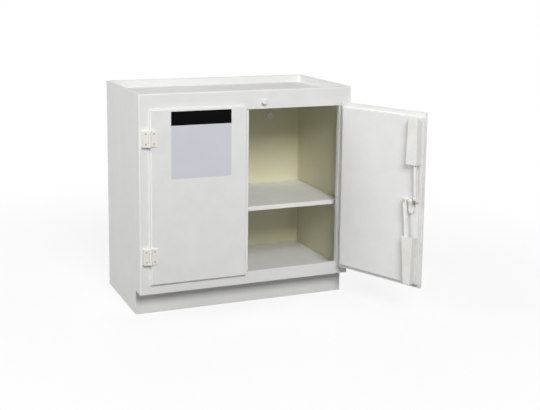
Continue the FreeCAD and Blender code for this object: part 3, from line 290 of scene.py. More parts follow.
paper, tree = blank_material("painted_paper")
spot = node(tree, "ShaderNodeTexCoord").outputs["Object"]
reach = node(tree, "ShaderNodeVectorMath", {"operation": "LENGTH"}, {0: spot})
fade = node(tree, "ShaderNodeMapRange", {"interpolation_type": "SMOOTHSTEP"}, {
    "Value": reach.outputs["Value"],
    "From Min": FADE_START,
    "From Max": FADE_END,
    "To Min": GLOW_UNDER_CABINET,
    "To Max": 1.0,
})
looked_at = seen_directly(tree)
glow_share = node(tree, "ShaderNodeMath", {"operation": "MULTIPLY"}, {
    0: looked_at,
    1: fade.outputs["Result"],
})
paper_grain = node(tree, "ShaderNodeTexNoise", (), {
    "Vector": spot,
    "Scale": per_metre(PAPER_GRAIN_MM),
    "Detail": 4.0,
})
paper_skin = node(tree, "ShaderNodeMix", {"data_type": "RGBA"}, {
    "Factor": paper_grain.outputs["Fac"],
    COLOUR_A: linear(PAPER_FACE),
    COLOUR_B: linear(PAPER_SHADE),
})
paper_colour = node(tree, "ShaderNodeMix", {"data_type": "RGBA"}, {
    "Factor": looked_at,
    COLOUR_A: linear(BOUNCE_GREY),
    COLOUR_B: paper_skin.outputs[COLOUR_OUT],
})
matt = node(tree, "ShaderNodeBsdfDiffuse", (), {"Color": paper_colour.outputs[COLOUR_OUT]})
glow = node(tree, "ShaderNodeEmission", (), {"Color": WHITE, "Strength": 1.0})
mixed = node(tree, "ShaderNodeMixShader", (), {
    0: glow_share.outputs[0],
    1: matt.outputs[0],
    2: glow.outputs[0],
})
node(tree, "ShaderNodeOutputMaterial", (), {"Surface": mixed.outputs[0]})
floor_mesh.materials.append(paper)
print("the paper glows", GLOW_UNDER_CABINET, "under the cabinet and 1.0 far out")

# %% [markdown]
# ## Extruded polypropylene sheet: colour
#
# The carcass and doors are extruded polypropylene, pressed between polished rolls
# while soft. The colour is an off-white that wanders a little, as thick plastic does,
# and handling leaves faint rub marks that run up and down. A painted image could hold
# all this, but it would blur close up and show seams, so both are noises at their real
# sizes. A noise hovers round one half; each span below picks the part of it that
# shows.

# %% Sheet colour
MOTTLE_MM = 70
MOTTLE_SPAN = (0.35, 0.68)
RUB_MM = 9
RUB_SPAN = (0.62, 0.80)
RUB_SQUEEZE = (1.0, 1.0, 0.22)
RUB_STRENGTH = 0.22


def sheet_colour(tree, place, face, shade):
    """Two near colours in slow clouds, with rub marks drawn out along Z."""
    mottle = node(tree, "ShaderNodeTexNoise", (), {
        "Vector": place,
        "Scale": per_metre(MOTTLE_MM),
        "Detail": 4.0,
        "Roughness": 0.6,
    })
    tint = node(tree, "ShaderNodeMapRange", (), {
        "Value": mottle.outputs["Fac"],
        "From Min": MOTTLE_SPAN[0],
        "From Max": MOTTLE_SPAN[1],
    })
    skin = node(tree, "ShaderNodeMix", {"data_type": "RGBA"}, {
        "Factor": tint.outputs["Result"],
        COLOUR_A: linear(face),
        COLOUR_B: linear(shade),
    })
    stretched = node(tree, "ShaderNodeMapping", (), {"Vector": place, "Scale": RUB_SQUEEZE})
    rubs = node(tree, "ShaderNodeTexNoise", (), {
        "Vector": stretched.outputs["Vector"],
        "Scale": per_metre(RUB_MM),
        "Detail": 6.0,
        "Roughness": 0.7,
    })
    rubbed = node(tree, "ShaderNodeMapRange", (), {
        "Value": rubs.outputs["Fac"],
        "From Min": RUB_SPAN[0],
        "From Max": RUB_SPAN[1],
        "To Max": RUB_STRENGTH,
    })
    marked = node(tree, "ShaderNodeMix", {"data_type": "RGBA"}, {
        "Factor": rubbed.outputs["Result"],
        COLOUR_A: skin.outputs[COLOUR_OUT],
        COLOUR_B: linear(shade),
    })
    return marked.outputs[COLOUR_OUT]


print("rub marks are", RUB_MM, "mm wide and", round(RUB_MM / RUB_SQUEEZE[2]), "mm long")

# %% [markdown]
# ## Polypropylene sheet: gloss
#
# Polished rolls leave a satin skin, and hands and cloths make it a little shinier in
# some places than in others. One roughness for the whole sheet would look like paint
# from a can. A third noise, about as large as a fingertip's rub, moves the roughness
# up and down by a few hundredths, which shows only where the light grazes.

# %% Sheet gloss
HAZE_MM = 22
HAZE_SPAN = (0.3, 0.7)
SHEET_GLOSS_SPREAD = (-0.05, 0.07)


def sheet_gloss(tree, place, roughness):
    """A roughness that wanders round the given one."""
    haze = node(tree, "ShaderNodeTexNoise", (), {
        "Vector": place,
        "Scale": per_metre(HAZE_MM),
        "Detail": 3.0,
    })
    gloss = node(tree, "ShaderNodeMapRange", (), {
        "Value": haze.outputs["Fac"],
        "From Min": HAZE_SPAN[0],
        "From Max": HAZE_SPAN[1],
        "To Min": roughness + SHEET_GLOSS_SPREAD[0],
        "To Max": roughness + SHEET_GLOSS_SPREAD[1],
    })
    return gloss.outputs["Result"]


print("roughness varies by", round(SHEET_GLOSS_SPREAD[1] - SHEET_GLOSS_SPREAD[0], 2))

# %% [markdown]
# ## Polypropylene sheet: relief
#
# The skin has two scales of unevenness: a slow wave from the rolls and a fine
# orange-peel grain. Moving real points that finely would take millions of faces, so
# both only tilt the light, in a Bump node. The grain is really about 1 mm and is drawn
# at 2.5 mm, so that it can show here.
#
# Sawn and routed edges have a tiny chamfer. The Bevel node rounds them in the shading
# only, which gives each edge the thin light line that the eye expects.

# %% Sheet relief
ROLL_WAVE_MM = 160
ROLL_WAVE_DEPTH = 0.6 * MM
ROLL_WAVE_STRENGTH = 0.22
GRAIN_MM = 2.5
GRAIN_STRENGTH = 0.6
EDGE_CHAMFER = 0.9 * MM
CHAMFER_SAMPLES = 4


def sheet_relief(tree, place, grain_depth_mm):
    """Chamfered edges, then the rolls' wave, then the grain, as one normal."""
    wave = node(tree, "ShaderNodeTexNoise", (), {
        "Vector": place,
        "Scale": per_metre(ROLL_WAVE_MM),
        "Detail": 1.0,
    })
    grain = node(tree, "ShaderNodeTexNoise", (), {
        "Vector": place,
        "Scale": per_metre(GRAIN_MM),
        "Detail": 2.0,
    })
    chamfer = node(tree, "ShaderNodeBevel", {"samples": CHAMFER_SAMPLES}, {
        "Radius": EDGE_CHAMFER,
    })
    rolled = node(tree, "ShaderNodeBump", (), {
        "Height": wave.outputs["Fac"],
        "Distance": ROLL_WAVE_DEPTH,
        "Strength": ROLL_WAVE_STRENGTH,
        "Normal": chamfer.outputs["Normal"],
    })
    peeled = node(tree, "ShaderNodeBump", (), {
        "Height": grain.outputs["Fac"],
        "Distance": grain_depth_mm * MM,
        "Strength": GRAIN_STRENGTH,
        "Normal": rolled.outputs["Normal"],
    })
    return peeled.outputs["Normal"]


print("the rolls leave a wave every", ROLL_WAVE_MM, "mm")

# %% [markdown]
# ## Polypropylene sheet: the four whites
#
# Plastic needs no metal and no special layer: one Principled shader with an index of
# refraction of 1.49 gives its clear, weak reflection. The whites differ a little on
# the real cabinet. The doors come from a brighter sheet than the carcass, the shelf and
# base from the whitest one, and machined parts are smoother, with a finer grain.

# %% Sheet material
PLASTIC_IOR = 1.49


def polypropylene(name, face, shade, roughness, grain_depth_mm=0.03):
    """Extruded or machined polypropylene in two near colours."""
    material, tree = blank_material(name)
    place = node(tree, "ShaderNodeTexCoord").outputs["Object"]
    shader = node(tree, "ShaderNodeBsdfPrincipled", (), {
        "Base Color": sheet_colour(tree, place, face, shade),
        "Roughness": sheet_gloss(tree, place, roughness),
        "IOR": PLASTIC_IOR,
        "Normal": sheet_relief(tree, place, grain_depth_mm),
    })
    node(tree, "ShaderNodeOutputMaterial", (), {"Surface": shader.outputs[0]})
    return material


door_sheet = polypropylene("door_polypropylene", "#ECECEB", "#E8E8E6", 0.42)
carcass_sheet = polypropylene("carcass_polypropylene", "#EAEAE8", "#E7E7E4", 0.45)
machined = polypropylene("machined_polypropylene", "#EEEEEB", "#E6E5DF", 0.38, 0.015)
shelf_sheet = polypropylene("shelf_polypropylene", "#F2F2F1", "#EDEDEB", 0.44)
print("sheet materials:", door_sheet.name, carcass_sheet.name, machined.name, shelf_sheet.name)

# %% [markdown]
# ## Painted shade inside
#
# Inside, the side walls and the back are the same white plastic as the rest, but they
# stand in deep, olive shade. Their faces inside the compartment are painted a pale olive,
# as painted shade, while the shelf and the base stay white. Light in a nearly closed box
# bounces many times, and each bounce off such a wall takes out a little more blue, so
# the painted olive deepens by itself.
#
# Each wall is one solid with a white side and a side with painted shade. Splitting it
# would leave an edge where the real sheet has none. Instead the material asks where on
# the cabinet a point lies. The Compare node gives 1 when a number is within a distance
# of another, so three of them, one for each axis, multiply to 1 inside the compartment
# and to 0 outside it.

# %% Inside or outside
# the box in which faces get the painted olive shade
COMPARTMENT_LOW = (-444.7, -234.5, 112.0)
COMPARTMENT_HIGH = (444.7, 241.5, 857.2)


def shaded_compartment_mask(tree, place):
    """1 for points in the box whose faces get the painted shade, 0 for all others."""
    parts = node(tree, "ShaderNodeSeparateXYZ", (), {0: place})
    inside = 1.0
    for axis, low, high in zip("XYZ", COMPARTMENT_LOW, COMPARTMENT_HIGH):
        within = node(tree, "ShaderNodeMath", {"operation": "COMPARE"}, {
            0: parts.outputs[axis],
            1: (low + high) / 2 * MM,
            2: (high - low) / 2 * MM,
        })
        both = node(tree, "ShaderNodeMath", {"operation": "MULTIPLY"}, {
            0: inside,
            1: within.outputs[0],
        })
        inside = both.outputs[0]
    return inside


print("compartment is", COMPARTMENT_HIGH[2] - COMPARTMENT_LOW[2], "mm high inside")

# %% [markdown]
# ## Sheet with painted shade inside
#
# The painted shade is a pale greenish yellow with large, faint clouds. The wall's skin,
# gloss and grain are those of any other sheet, so a white sheet is made first and only
# its colour is replaced by a choice between the two. The weld beads are made of the
# same plastics, from a smoother rod, and get the same painted shade inside the compartment.

# %% Sheet with painted shade, and welding rod
SHADE_CLOUD_MM = 110


def sheet_with_painted_shade(name, outside_pair, shade_pair, roughness, grain_depth_mm):
    """Sheet whose faces inside the compartment are painted with an olive shade."""
    material = polypropylene(name, *outside_pair, roughness, grain_depth_mm)
    tree = material.node_tree
    shader = found(tree, "BSDF_PRINCIPLED")
    outside = shader.inputs["Base Color"].links[0].from_socket
    place = node(tree, "ShaderNodeTexCoord").outputs["Object"]
    cloud = node(tree, "ShaderNodeTexNoise", (), {
        "Vector": place,
        "Scale": per_metre(SHADE_CLOUD_MM),
        "Detail": 3.0,
    })
    # the painted shade: two pale olive colours in large clouds
    painted_shade = node(tree, "ShaderNodeMix", {"data_type": "RGBA"}, {
        "Factor": cloud.outputs["Fac"],
        COLOUR_A: linear(shade_pair[0]),
        COLOUR_B: linear(shade_pair[1]),
    })
    both_faces = node(tree, "ShaderNodeMix", {"data_type": "RGBA"}, {
        "Factor": shaded_compartment_mask(tree, place),
        COLOUR_A: outside,
        COLOUR_B: painted_shade.outputs[COLOUR_OUT],
    })
    tree.links.new(both_faces.outputs[COLOUR_OUT], shader.inputs["Base Color"])
    return material


# each second pair is the painted olive shade on the faces inside the compartment
wall_sheet = sheet_with_painted_shade(
    "polypropylene_with_painted_shade", ("#EAEAE8", "#E7E7E4"), ("#E6E3C5", "#DEDAB9"), 0.45, 0.03,
)
bead_plastic = sheet_with_painted_shade(
    "welding_rod_polypropylene", ("#ECECE8", "#E2E1DA"), ("#E3E1C3", "#D6D3B2"), 0.34, 0.05,
)
print("lined:", wall_sheet.name, bead_plastic.name)

# %% [markdown]
# ## Moulded parts
#
# Hinges, caps, the vent, the lever and its rose are injection moulded. A mould leaves
# an even skin with a fine grain, and the plastic's colour follows the way it flowed in.
# The sheet's material would do in a pinch, but its roll waves are wrong here. So
# moulded parts have their own: small clouds, a fine grain, a little polish as a clear
# coat on the glossy ones, and a trace of waxy depth in the ivory of the hinges.

# %% Moulded plastic
FLOW_MM = 12
MOULD_GRAIN_MM = 1.2
MOULD_GRAIN_DEPTH = 0.02 * MM
MOULD_CHAMFER = 0.5 * MM
MOULD_GLOSS_SPREAD = (-0.06, 0.08)
COAT_ROUGHNESS = 0.12
WAX_DEPTH = 2.0 * MM


def moulded(name, face, shade, roughness, coat=0.0, wax=0.0):
    """A moulded plastic: uneven colour at part scale, fine grain, optional polish."""
    material, tree = blank_material(name)
    place = node(tree, "ShaderNodeTexCoord").outputs["Object"]
    flow = node(tree, "ShaderNodeTexNoise", (), {
        "Vector": place,
        "Scale": per_metre(FLOW_MM),
        "Detail": 3.0,
        "Distortion": 0.8,
    })
    skin = node(tree, "ShaderNodeMix", {"data_type": "RGBA"}, {
        "Factor": flow.outputs["Fac"],
        COLOUR_A: linear(face),
        COLOUR_B: linear(shade),
    })
    gloss = node(tree, "ShaderNodeMapRange", (), {
        "Value": flow.outputs["Fac"],
        "To Min": roughness + MOULD_GLOSS_SPREAD[0],
        "To Max": roughness + MOULD_GLOSS_SPREAD[1],
    })
    grain = node(tree, "ShaderNodeTexNoise", (), {
        "Vector": place,
        "Scale": per_metre(MOULD_GRAIN_MM),
        "Detail": 2.0,
    })
    chamfer = node(tree, "ShaderNodeBevel", {"samples": CHAMFER_SAMPLES}, {
        "Radius": MOULD_CHAMFER,
    })
    pitted = node(tree, "ShaderNodeBump", (), {
        "Height": grain.outputs["Fac"],
        "Distance": MOULD_GRAIN_DEPTH,
        "Strength": GRAIN_STRENGTH,
        "Normal": chamfer.outputs["Normal"],
    })
    shader = node(tree, "ShaderNodeBsdfPrincipled", (), {
        "Base Color": skin.outputs[COLOUR_OUT],
        "Roughness": gloss.outputs["Result"],
        "IOR": PLASTIC_IOR,
        "Coat Weight": coat,
        "Coat Roughness": COAT_ROUGHNESS,
        "Subsurface Weight": wax,
        "Subsurface Scale": WAX_DEPTH,
        "Normal": pitted.outputs["Normal"],
    })
    node(tree, "ShaderNodeOutputMaterial", (), {"Surface": shader.outputs[0]})
    return material


hinge_ivory = moulded("moulded_ivory_hinge", "#F6F3ED", "#EEEAE1", 0.36, wax=0.1)
cap_white = moulded("glossy_white_cap", "#F2F2EF", "#E8E8E4", 0.24, coat=0.4)
# the vent on the back wall is painted the olive shade of the wall around it
vent_painted_shade = moulded("moulded_vent_painted_shade", "#E2E0C6", "#DAD8BA", 0.40)
handle_white = moulded("moulded_white_handle", "#EBEBE7", "#DEDED8", 0.33, coat=0.15)
print("moulded:", hinge_ivory.name, cap_white.name, vent_painted_shade.name, handle_white.name)

# %% [markdown]
# ## Turned parts
#
# Screws and crank pins are turned from tan rod, so rings from the tool run round them.
# The rings could be cut into the mesh, but on a head 9 mm wide nobody would see the
# difference, so they are a Wave texture that drives the bump of a moulded plastic. The
# real rings are a few tenths of a millimetre apart. They are drawn 3.8 mm apart and
# broken up by a strong distortion, so that they show as an uneven surface.

# %% Turned plastic rod
TURNING_STEP_MM = 1.2 * math.pi
TURNING_DEPTH = 0.05 * MM
WAVE_PERIOD = 2 * math.pi / 20   # of the Wave texture at a scale of 1


def turned_rod(name, face, shade):
    """Plastic rod turned on a lathe: rings from the tool and a mottled tan."""
    material = moulded(name, face, shade, 0.40)
    tree = material.node_tree
    rings = node(tree, "ShaderNodeTexWave", {"bands_direction": "Z"}, {
        "Vector": node(tree, "ShaderNodeTexCoord").outputs["Object"],
        "Scale": WAVE_PERIOD * per_metre(TURNING_STEP_MM),
        "Distortion": 6.0,
        "Detail": 3.0,
    })
    bump = found(tree, "BUMP")
    tree.links.new(rings.outputs["Fac"], bump.inputs["Height"])
    bump.inputs["Distance"].default_value = TURNING_DEPTH
    return material


screw_tan = turned_rod("turned_tan_screw", "#E0D7C2", "#D0C4A8")
pin_tan = turned_rod("turned_tan_pin", "#DED3BE", "#CBBA9B")
print("turned:", screw_tan.name, pin_tan.name)

# %% [markdown]
# ## A painted shadow on one crank pin
#
# The crank pin nearer the door's free edge lies in the shadow under the rod's end, and
# that shadow is painted on as a darker tan. Both pins are one imported piece with one
# material. Taking the piece apart would need new meshes, and a place is enough to tell
# the pins apart: in front of the parting line the rod is painted dark, behind it the rod
# stays pale.

# %% Painted shadow on the outer pin
PARTING_BACK_MM, PARTING_FRONT_MM = -636, -644

tree = pin_tan.node_tree
shader = found(tree, "BSDF_PRINCIPLED")
pale_rod = shader.inputs["Base Color"].links[0].from_socket
spot = node(tree, "ShaderNodeTexCoord").outputs["Object"]
depth = node(tree, "ShaderNodeSeparateXYZ", (), {0: spot}).outputs["Y"]
outer_pin_shadow_mask = node(tree, "ShaderNodeMapRange", (), {
    "Value": depth,
    "From Min": PARTING_BACK_MM * MM,
    "From Max": PARTING_FRONT_MM * MM,
})
# the outer pin gets a painted shadow, a dark tan
pin_with_painted_shadow = node(tree, "ShaderNodeMix", {"data_type": "RGBA"}, {
    "Factor": outer_pin_shadow_mask.outputs["Result"],
    COLOUR_A: pale_rod,
    COLOUR_B: linear("#9A866A"),
})
tree.links.new(pin_with_painted_shadow.outputs[COLOUR_OUT], shader.inputs["Base Color"])
print("the pins part over", PARTING_BACK_MM - PARTING_FRONT_MM, "mm")

# %% [markdown]
# ## Which piece gets which surface
#
# The record already says which plastic each solid is made of, and could choose the
# material by itself. A few pieces look different from their neighbours of the same
# plastic, so a table that names every piece is clearer than rules with exceptions.

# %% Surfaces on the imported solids
SURFACES = {
    door_sheet: [
        "left_door_outer_panel", "left_door_inner_panel",
        "right_door_outer_panel", "right_door_inner_panel",
    ],
    wall_sheet: ["side_panel_left", "side_panel_right", "back_panel"],
    carcass_sheet: [
        "toe_board", "worktop_panel", "face_frame",
        "corner_post_left", "corner_post_right",
        "shelf_cleat_left", "shelf_cleat_right", "shelf_cleat_rear",
        "left_upper_hinge_packer", "right_upper_hinge_packer",
        "left_lower_hinge_packer", "right_lower_hinge_packer",
    ],
    shelf_sheet: ["shelf", "base_panel"],
    machined: [
        "latch_cam", "upper_rod", "lower_rod", "upper_rod_guide", "lower_rod_guide",
        "spindle", "spindle_bush", "cam_washer",
        "upper_slide_bolt", "lower_slide_bolt", "upper_bolt_housing", "lower_bolt_housing",
    ],
    hinge_ivory: [
        "left_upper_frame_leaf", "right_upper_frame_leaf",
        "left_lower_frame_leaf", "right_lower_frame_leaf",
        "left_upper_door_leaf", "right_upper_door_leaf",
        "left_lower_door_leaf", "right_lower_door_leaf", "hinge_pins",
    ],
    screw_tan: ["stile_screws"],
    pin_tan: ["crank_pins"],
    cap_white: [
        "cam_screw", "lever_screw",
        "stile_screw_caps", "vent_cap", "header_stud", "header_stud_nut",
    ],
    vent_painted_shade: ["vent_bushing"],
    handle_white: ["lever_handle", "handle_rose"],
}

for surface, names in SURFACES.items():
    for name in names:
        solid = frame["nodes"][name]
        solid.data.materials.clear()
        solid.data.materials.append(surface)
print(sum(len(names) for names in SURFACES.values()), "solids have their surface")

# %% [markdown]
# ## Places on the open door
#
# The right door stands open at an angle, so weld beads and screws on it have awkward
# places. They could be worked out one by one. It is easier to place them with the door
# shut, where everything is square, and to swing them open with one matrix, taken from
# the door's own hinge.

# %% Swing of the right door
swing_joint = next(joint for joint in frame["joints"] if joint["name"] == "right_door_swing")
hinge_point = Vector(swing_joint["pos_m"])
open_angle = -math.radians(swing_joint["range_deg"][0])
swing = Matrix.Translation(hinge_point) @ Matrix.Rotation(open_angle, 4, "Z")
swing = swing @ Matrix.Translation(-hinge_point)
print("right door stands open", round(math.degrees(open_angle)), "degrees")

# %% [markdown]
# ## A mesh from lists
#
# Screws, beads and the sign could be modelled with the mouse, but a list of points and
# faces says exactly what they are and comes out the same each time. One function makes
# the object, turns all its faces outwards, gives it its surface and rides it on the body
# that carries it.

# %% Make a piece


def piece(name, points, faces, surface, body):
    """A new mesh in the cabinet's frame, in metres, riding on a body."""
    mesh = bpy.data.meshes.new(name)
    mesh.from_pydata([tuple(point) for point in points], [], faces)
    mesh.validate()
    shell = bmesh.new()
    shell.from_mesh(mesh)
    bmesh.ops.recalc_face_normals(shell, faces=shell.faces)
    shell.to_mesh(mesh)
    shell.free()
    mesh.materials.append(surface)
    made = bpy.data.objects.new(name, mesh)
    bpy.context.scene.collection.objects.link(made)
    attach(made, body)
    return made


# %% [markdown]
# ## Slotted screws
#
# The tan screws have a straight slot, and the solids leave the heads plain. A boolean
# would cut the slot but leaves ragged faces. So each screw is redrawn from two simple
# forms: a body of revolution up to the slot's floor, and on it two half discs with the
# slot between them.

# %% Parts of a screw
SCREW_HEAD_R = 4.5
SLOT_HALF_WIDTH = 0.55
HEAD_STEPS = 14


def half_disc(side, depth, radius):
    """Points round the head on one side of the slot."""
    start = math.asin(SLOT_HALF_WIDTH / radius)
    sweep = math.pi - 2 * start
    angles = [start + sweep * step / HEAD_STEPS for step in range(HEAD_STEPS + 1)]
    return [Vector((radius * math.cos(a), depth, side * radius * math.sin(a))) for a in angles]


def turned_body(rings):
    """Points and faces of a body of revolution about Y, from pairs of radius and depth."""
    around = 2 * HEAD_STEPS
    points = [
        Vector((radius * math.cos(turn), depth, radius * math.sin(turn)))
        for radius, depth in rings
        for turn in (2 * math.pi * step / around for step in range(around))
    ]
    faces = [tuple(range(around)), tuple(range(len(points) - around, len(points)))]
    for ring in range(len(rings) - 1):
        for step in range(around):
            low, high = (ring * around + corner for corner in (step, (step + 1) % around))
            faces.append((low, high, high + around, low + around))
    return points, faces


print("half a head has", len(half_disc(1, 0.0, SCREW_HEAD_R)), "points")

# %% [markdown]
# ## One whole screw
#
# A sunk head lies flush and narrows towards its shank, so that it pulls itself to the
# middle of its hole. A pan head keeps its width and stands on the surface. Both share
# the slot and the shank, so one function draws either, which is less to keep right
# than two.

# %% Draw one screw
SCREW_SHANK_R = 2.4
SLOT_DEPTH = 1.1
SUNK_HEAD, PAN_HEAD = 2.1, 2.5
FRAME_SCREW, DOOR_SCREW, HOUSING_SCREW = 32, 16, 14.5


def slotted_screw(length, sunk):
    """Points in millimetres and faces of a screw along +Y; its seat is at y = 0."""
    crown = 0.0 if sunk else -PAN_HEAD
    slot_floor = crown + SLOT_DEPTH
    floor_radius = SCREW_HEAD_R - SLOT_DEPTH if sunk else SCREW_HEAD_R
    rings = [(floor_radius, slot_floor)]
    if not sunk:
        rings.append((SCREW_HEAD_R, 0.0))
    rings += [(SCREW_SHANK_R, SUNK_HEAD if sunk else 0.0), (SCREW_SHANK_R, length)]
    points, faces = turned_body(rings)
    count = HEAD_STEPS + 1
    for side in (-1, 1):
        top = [len(points) + step for step in range(count)]
        points += half_disc(side, crown, SCREW_HEAD_R)
        points += half_disc(side, slot_floor, floor_radius)
        faces += [tuple(top), tuple(corner + count for corner in top)]
        for low, high in zip(top, top[1:] + top[:1]):
            faces.append((low, high, high + count, low + count))
    return points, faces


print(len(slotted_screw(FRAME_SCREW, True)[1]), "faces in a screw")

# %% [markdown]
# ## A group of screws
#
# No one lines up the slots of plastic screws, so every screw stops at its own angle.
# Angles could be typed in by hand; a random generator with a fixed seed gives the same
# careless look every time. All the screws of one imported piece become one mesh, which
# replaces that piece, while the solid stays for collision.

# %% Draw a group of screws
random.seed(11)


def screw_group(name, length, places, body, replaced, carry=Matrix(), sunk=True):
    """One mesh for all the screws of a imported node; unsunk ones face the other way."""
    shape, shape_faces = slotted_screw(length, sunk)
    about = Matrix() if sunk else Matrix.Rotation(math.pi, 4, "Z")
    points, faces = [], []
    for place in places:
        spin = Matrix.Rotation(random.uniform(0, math.pi), 4, "Y")
        first = len(points)
        for point in shape:
            placed = about @ (spin @ point) + Vector(place)
            points.append(carry @ (placed * MM))
        faces.extend(tuple(first + corner for corner in face) for face in shape_faces)
    made = piece(name, points, faces, screw_tan, body)
    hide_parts(replaced)
    print(name, "has", len(places), "screws")


print("shortest screw:", min(FRAME_SCREW, DOOR_SCREW, HOUSING_SCREW), "mm")

# %% [markdown]
# ## Screws of the hinges
#
# Each hinge leaf has two screws, 41 mm apart and 17 mm from the hinge's axis. Those of
# the frame leaves go through the packing block into the frame and are long, those of
# the door leaves are short. Their places could be read off the solids, but a few
# lengths of the hinge give them all, and show how the hinge is drilled.

# %% Place the hinge screws
HINGE_AXIS_X = 417.5
LEAF_FACE_Y = -271.7
LEAF_SCREW_OFFSET = 17.0
LEAF_HALF_PITCH = 20.5
HINGE_LEVELS = (728.0, 258.0)


def leaf_places(x):
    """The screws of a column of leaves: two hinges, and two screws in each leaf."""
    return [
        (x, LEAF_FACE_Y, level + step)
        for level in HINGE_LEVELS
        for step in (-LEAF_HALF_PITCH, LEAF_HALF_PITCH)
    ]


frame_places = leaf_places(-HINGE_AXIS_X - LEAF_SCREW_OFFSET)
frame_places += leaf_places(HINGE_AXIS_X + LEAF_SCREW_OFFSET)
left_places = leaf_places(-HINGE_AXIS_X + LEAF_SCREW_OFFSET)
right_places = leaf_places(HINGE_AXIS_X - LEAF_SCREW_OFFSET)
screw_group(
    "slotted_frame_leaf_screws", FRAME_SCREW, frame_places, "cabinet", "frame_leaf_screws",
)
screw_group(
    "slotted_left_leaf_screws", DOOR_SCREW, left_places, "left_door",
    "left_door_leaf_screws",
)
screw_group(
    "slotted_right_leaf_screws", DOOR_SCREW, right_places, "right_door",
    "right_door_leaf_screws", carry=swing,
)

# %% [markdown]
# ## Screws of the rose and the bolt housings
#
# Two sunk screws hold the rose under the lever. Each housing of a slide bolt has two
# flanges with two pan-headed screws in each, because a flange only 5 mm thick has no
# room for a sunk head. They are few, so their places are written as steps from the
# middle of the piece that they hold.

# %% Place the other screws
HUB_X, HUB_Z = 34.0, 492.0
ROSE_FACE_Y = -274.7
ROSE_HALF_PITCH = 18
BOLT_X = -60.0
HOUSING_FACE_Y = -236.3
HOUSING_LEVELS = (775.5, 201.0)
FLANGE_OFFSET = 17.5
FLANGE_HALF_PITCH = 16

rose_places = [
    (HUB_X, ROSE_FACE_Y, HUB_Z + step) for step in (-ROSE_HALF_PITCH, ROSE_HALF_PITCH)
]
screw_group(
    "slotted_rose_screws", DOOR_SCREW, rose_places, "right_door", "rose_screws",
    carry=swing,
)
housing_places = [
    (BOLT_X + side * FLANGE_OFFSET, HOUSING_FACE_Y, level + step)
    for level in HOUSING_LEVELS
    for side in (-1, 1)
    for step in (-FLANGE_HALF_PITCH, FLANGE_HALF_PITCH)
]
screw_group(
    "slotted_bolt_screws", HOUSING_SCREW, housing_places, "left_door",
    "bolt_housing_screws", sunk=False,
)

# %% [markdown]
# ## Weld beads
#
# The sheets are joined with a hot-air torch and a thin plastic rod, pressed into each
# inside corner. The rod leaves a rounded bead that swells and thins by a few tenths
# of a millimetre every few millimetres, as the hand moves on. A bevelled curve would
# be quick but perfectly even, so a bead is drawn as a row of quarter circles along its
# corner, each a little larger or smaller.

# %% Draw a bead
BEAD_STEP = 4.0
BEAD_ARC = 5
RIPPLE = 0.13
RIPPLE_PACE = 2.1


def bead_points(start, end, wall_one, wall_two, radius):
    """A bead from start to end; the walls are directions away from the corner."""
    start, end = Vector(start), Vector(end)
    count = max(2, round((end - start).length / BEAD_STEP))
    points, faces = [], []
    row = BEAD_ARC + 2
    for step in range(count + 1):
        along = start.lerp(end, step / count)
        swell = math.sin(step * RIPPLE_PACE) * random.uniform(0.5, 1.0)
        size = radius * (1 + RIPPLE * swell)
        points.append(along)
        for part in range(BEAD_ARC + 1):
            angle = math.pi / 2 * part / BEAD_ARC
            across = Vector(wall_one) * math.cos(angle) + Vector(wall_two) * math.sin(angle)
            points.append(along + across * size)
    for step in range(count):
        for part in range(row):
            low = step * row + part
            high = step * row + (part + 1) % row
            faces.append((low, high, high + row, low + row))
    faces.append(tuple(range(row)))
    faces.append(tuple(range(count * row, (count + 1) * row)))
    return points, faces


print("a bead swells by up to", round(100 * RIPPLE), "percent")

# %% [markdown]
# ## All the beads of one body
#
# A cabinet has dozens of beads. Each could be an object of its own, but they never move
# apart from their body, so one mesh holds all that ride on it. Smooth shading hides the
# few facets of each quarter circle, because melted plastic has no edges.

# %% Draw the beads of a body


def beads(name, runs, body, carry=Matrix()):
    """All the beads of one body as one mesh."""
    points, faces = [], []
    for run in runs:
        run_points, run_faces = bead_points(*run)
        first = len(points)
        points.extend(carry @ (point * MM) for point in run_points)
        faces.extend(tuple(first + corner for corner in face) for face in run_faces)
    made = piece(name, points, faces, bead_plastic, body)
    made.data.shade_smooth()
    length = sum((Vector(end) - Vector(start)).length for start, end, *_ in runs)
    print(name, "has", round(length), "mm of weld")


print("beads are of", bead_plastic.name)

# %% [markdown]
# ## Beads of the carcass
#
# The tray round the work top is welded along all four inside corners, so that a spill
# stays on it. Inside, the walls, base, posts and shelf strips are welded where they
# meet, with a thinner rod. The corners could be searched for in the solids, but a
# table of their ends is short and shows at a glance what a welder would do.

# %% Carcass beads
RIGHT, LEFT = (1, 0, 0), (-1, 0, 0)
BACK, FRONT = (0, 1, 0), (0, -1, 0)
UP, DOWN = (0, 0, 1), (0, 0, -1)
SIDE, OUTER_SIDE, POST_SIDE = 444.5, 457.2, 425.5
FRAME_REAR, POST_REAR, BACK_FACE, TOE_FACE = -235.0, -216, 241.3, -184
BASE_TOP, TOP_UNDER, TOP_FACE, CARCASS_FOOT = 112.7, 857.0, 869.7, 100
OVER_SHELF, UNDER_CLEAT = 411, 372
CLEAT_FRONT, CLEAT_REAR = -187, 222
TRAY_BEAD, WALL_BEAD, SMALL_BEAD = 3.0, 2.4, 1.6

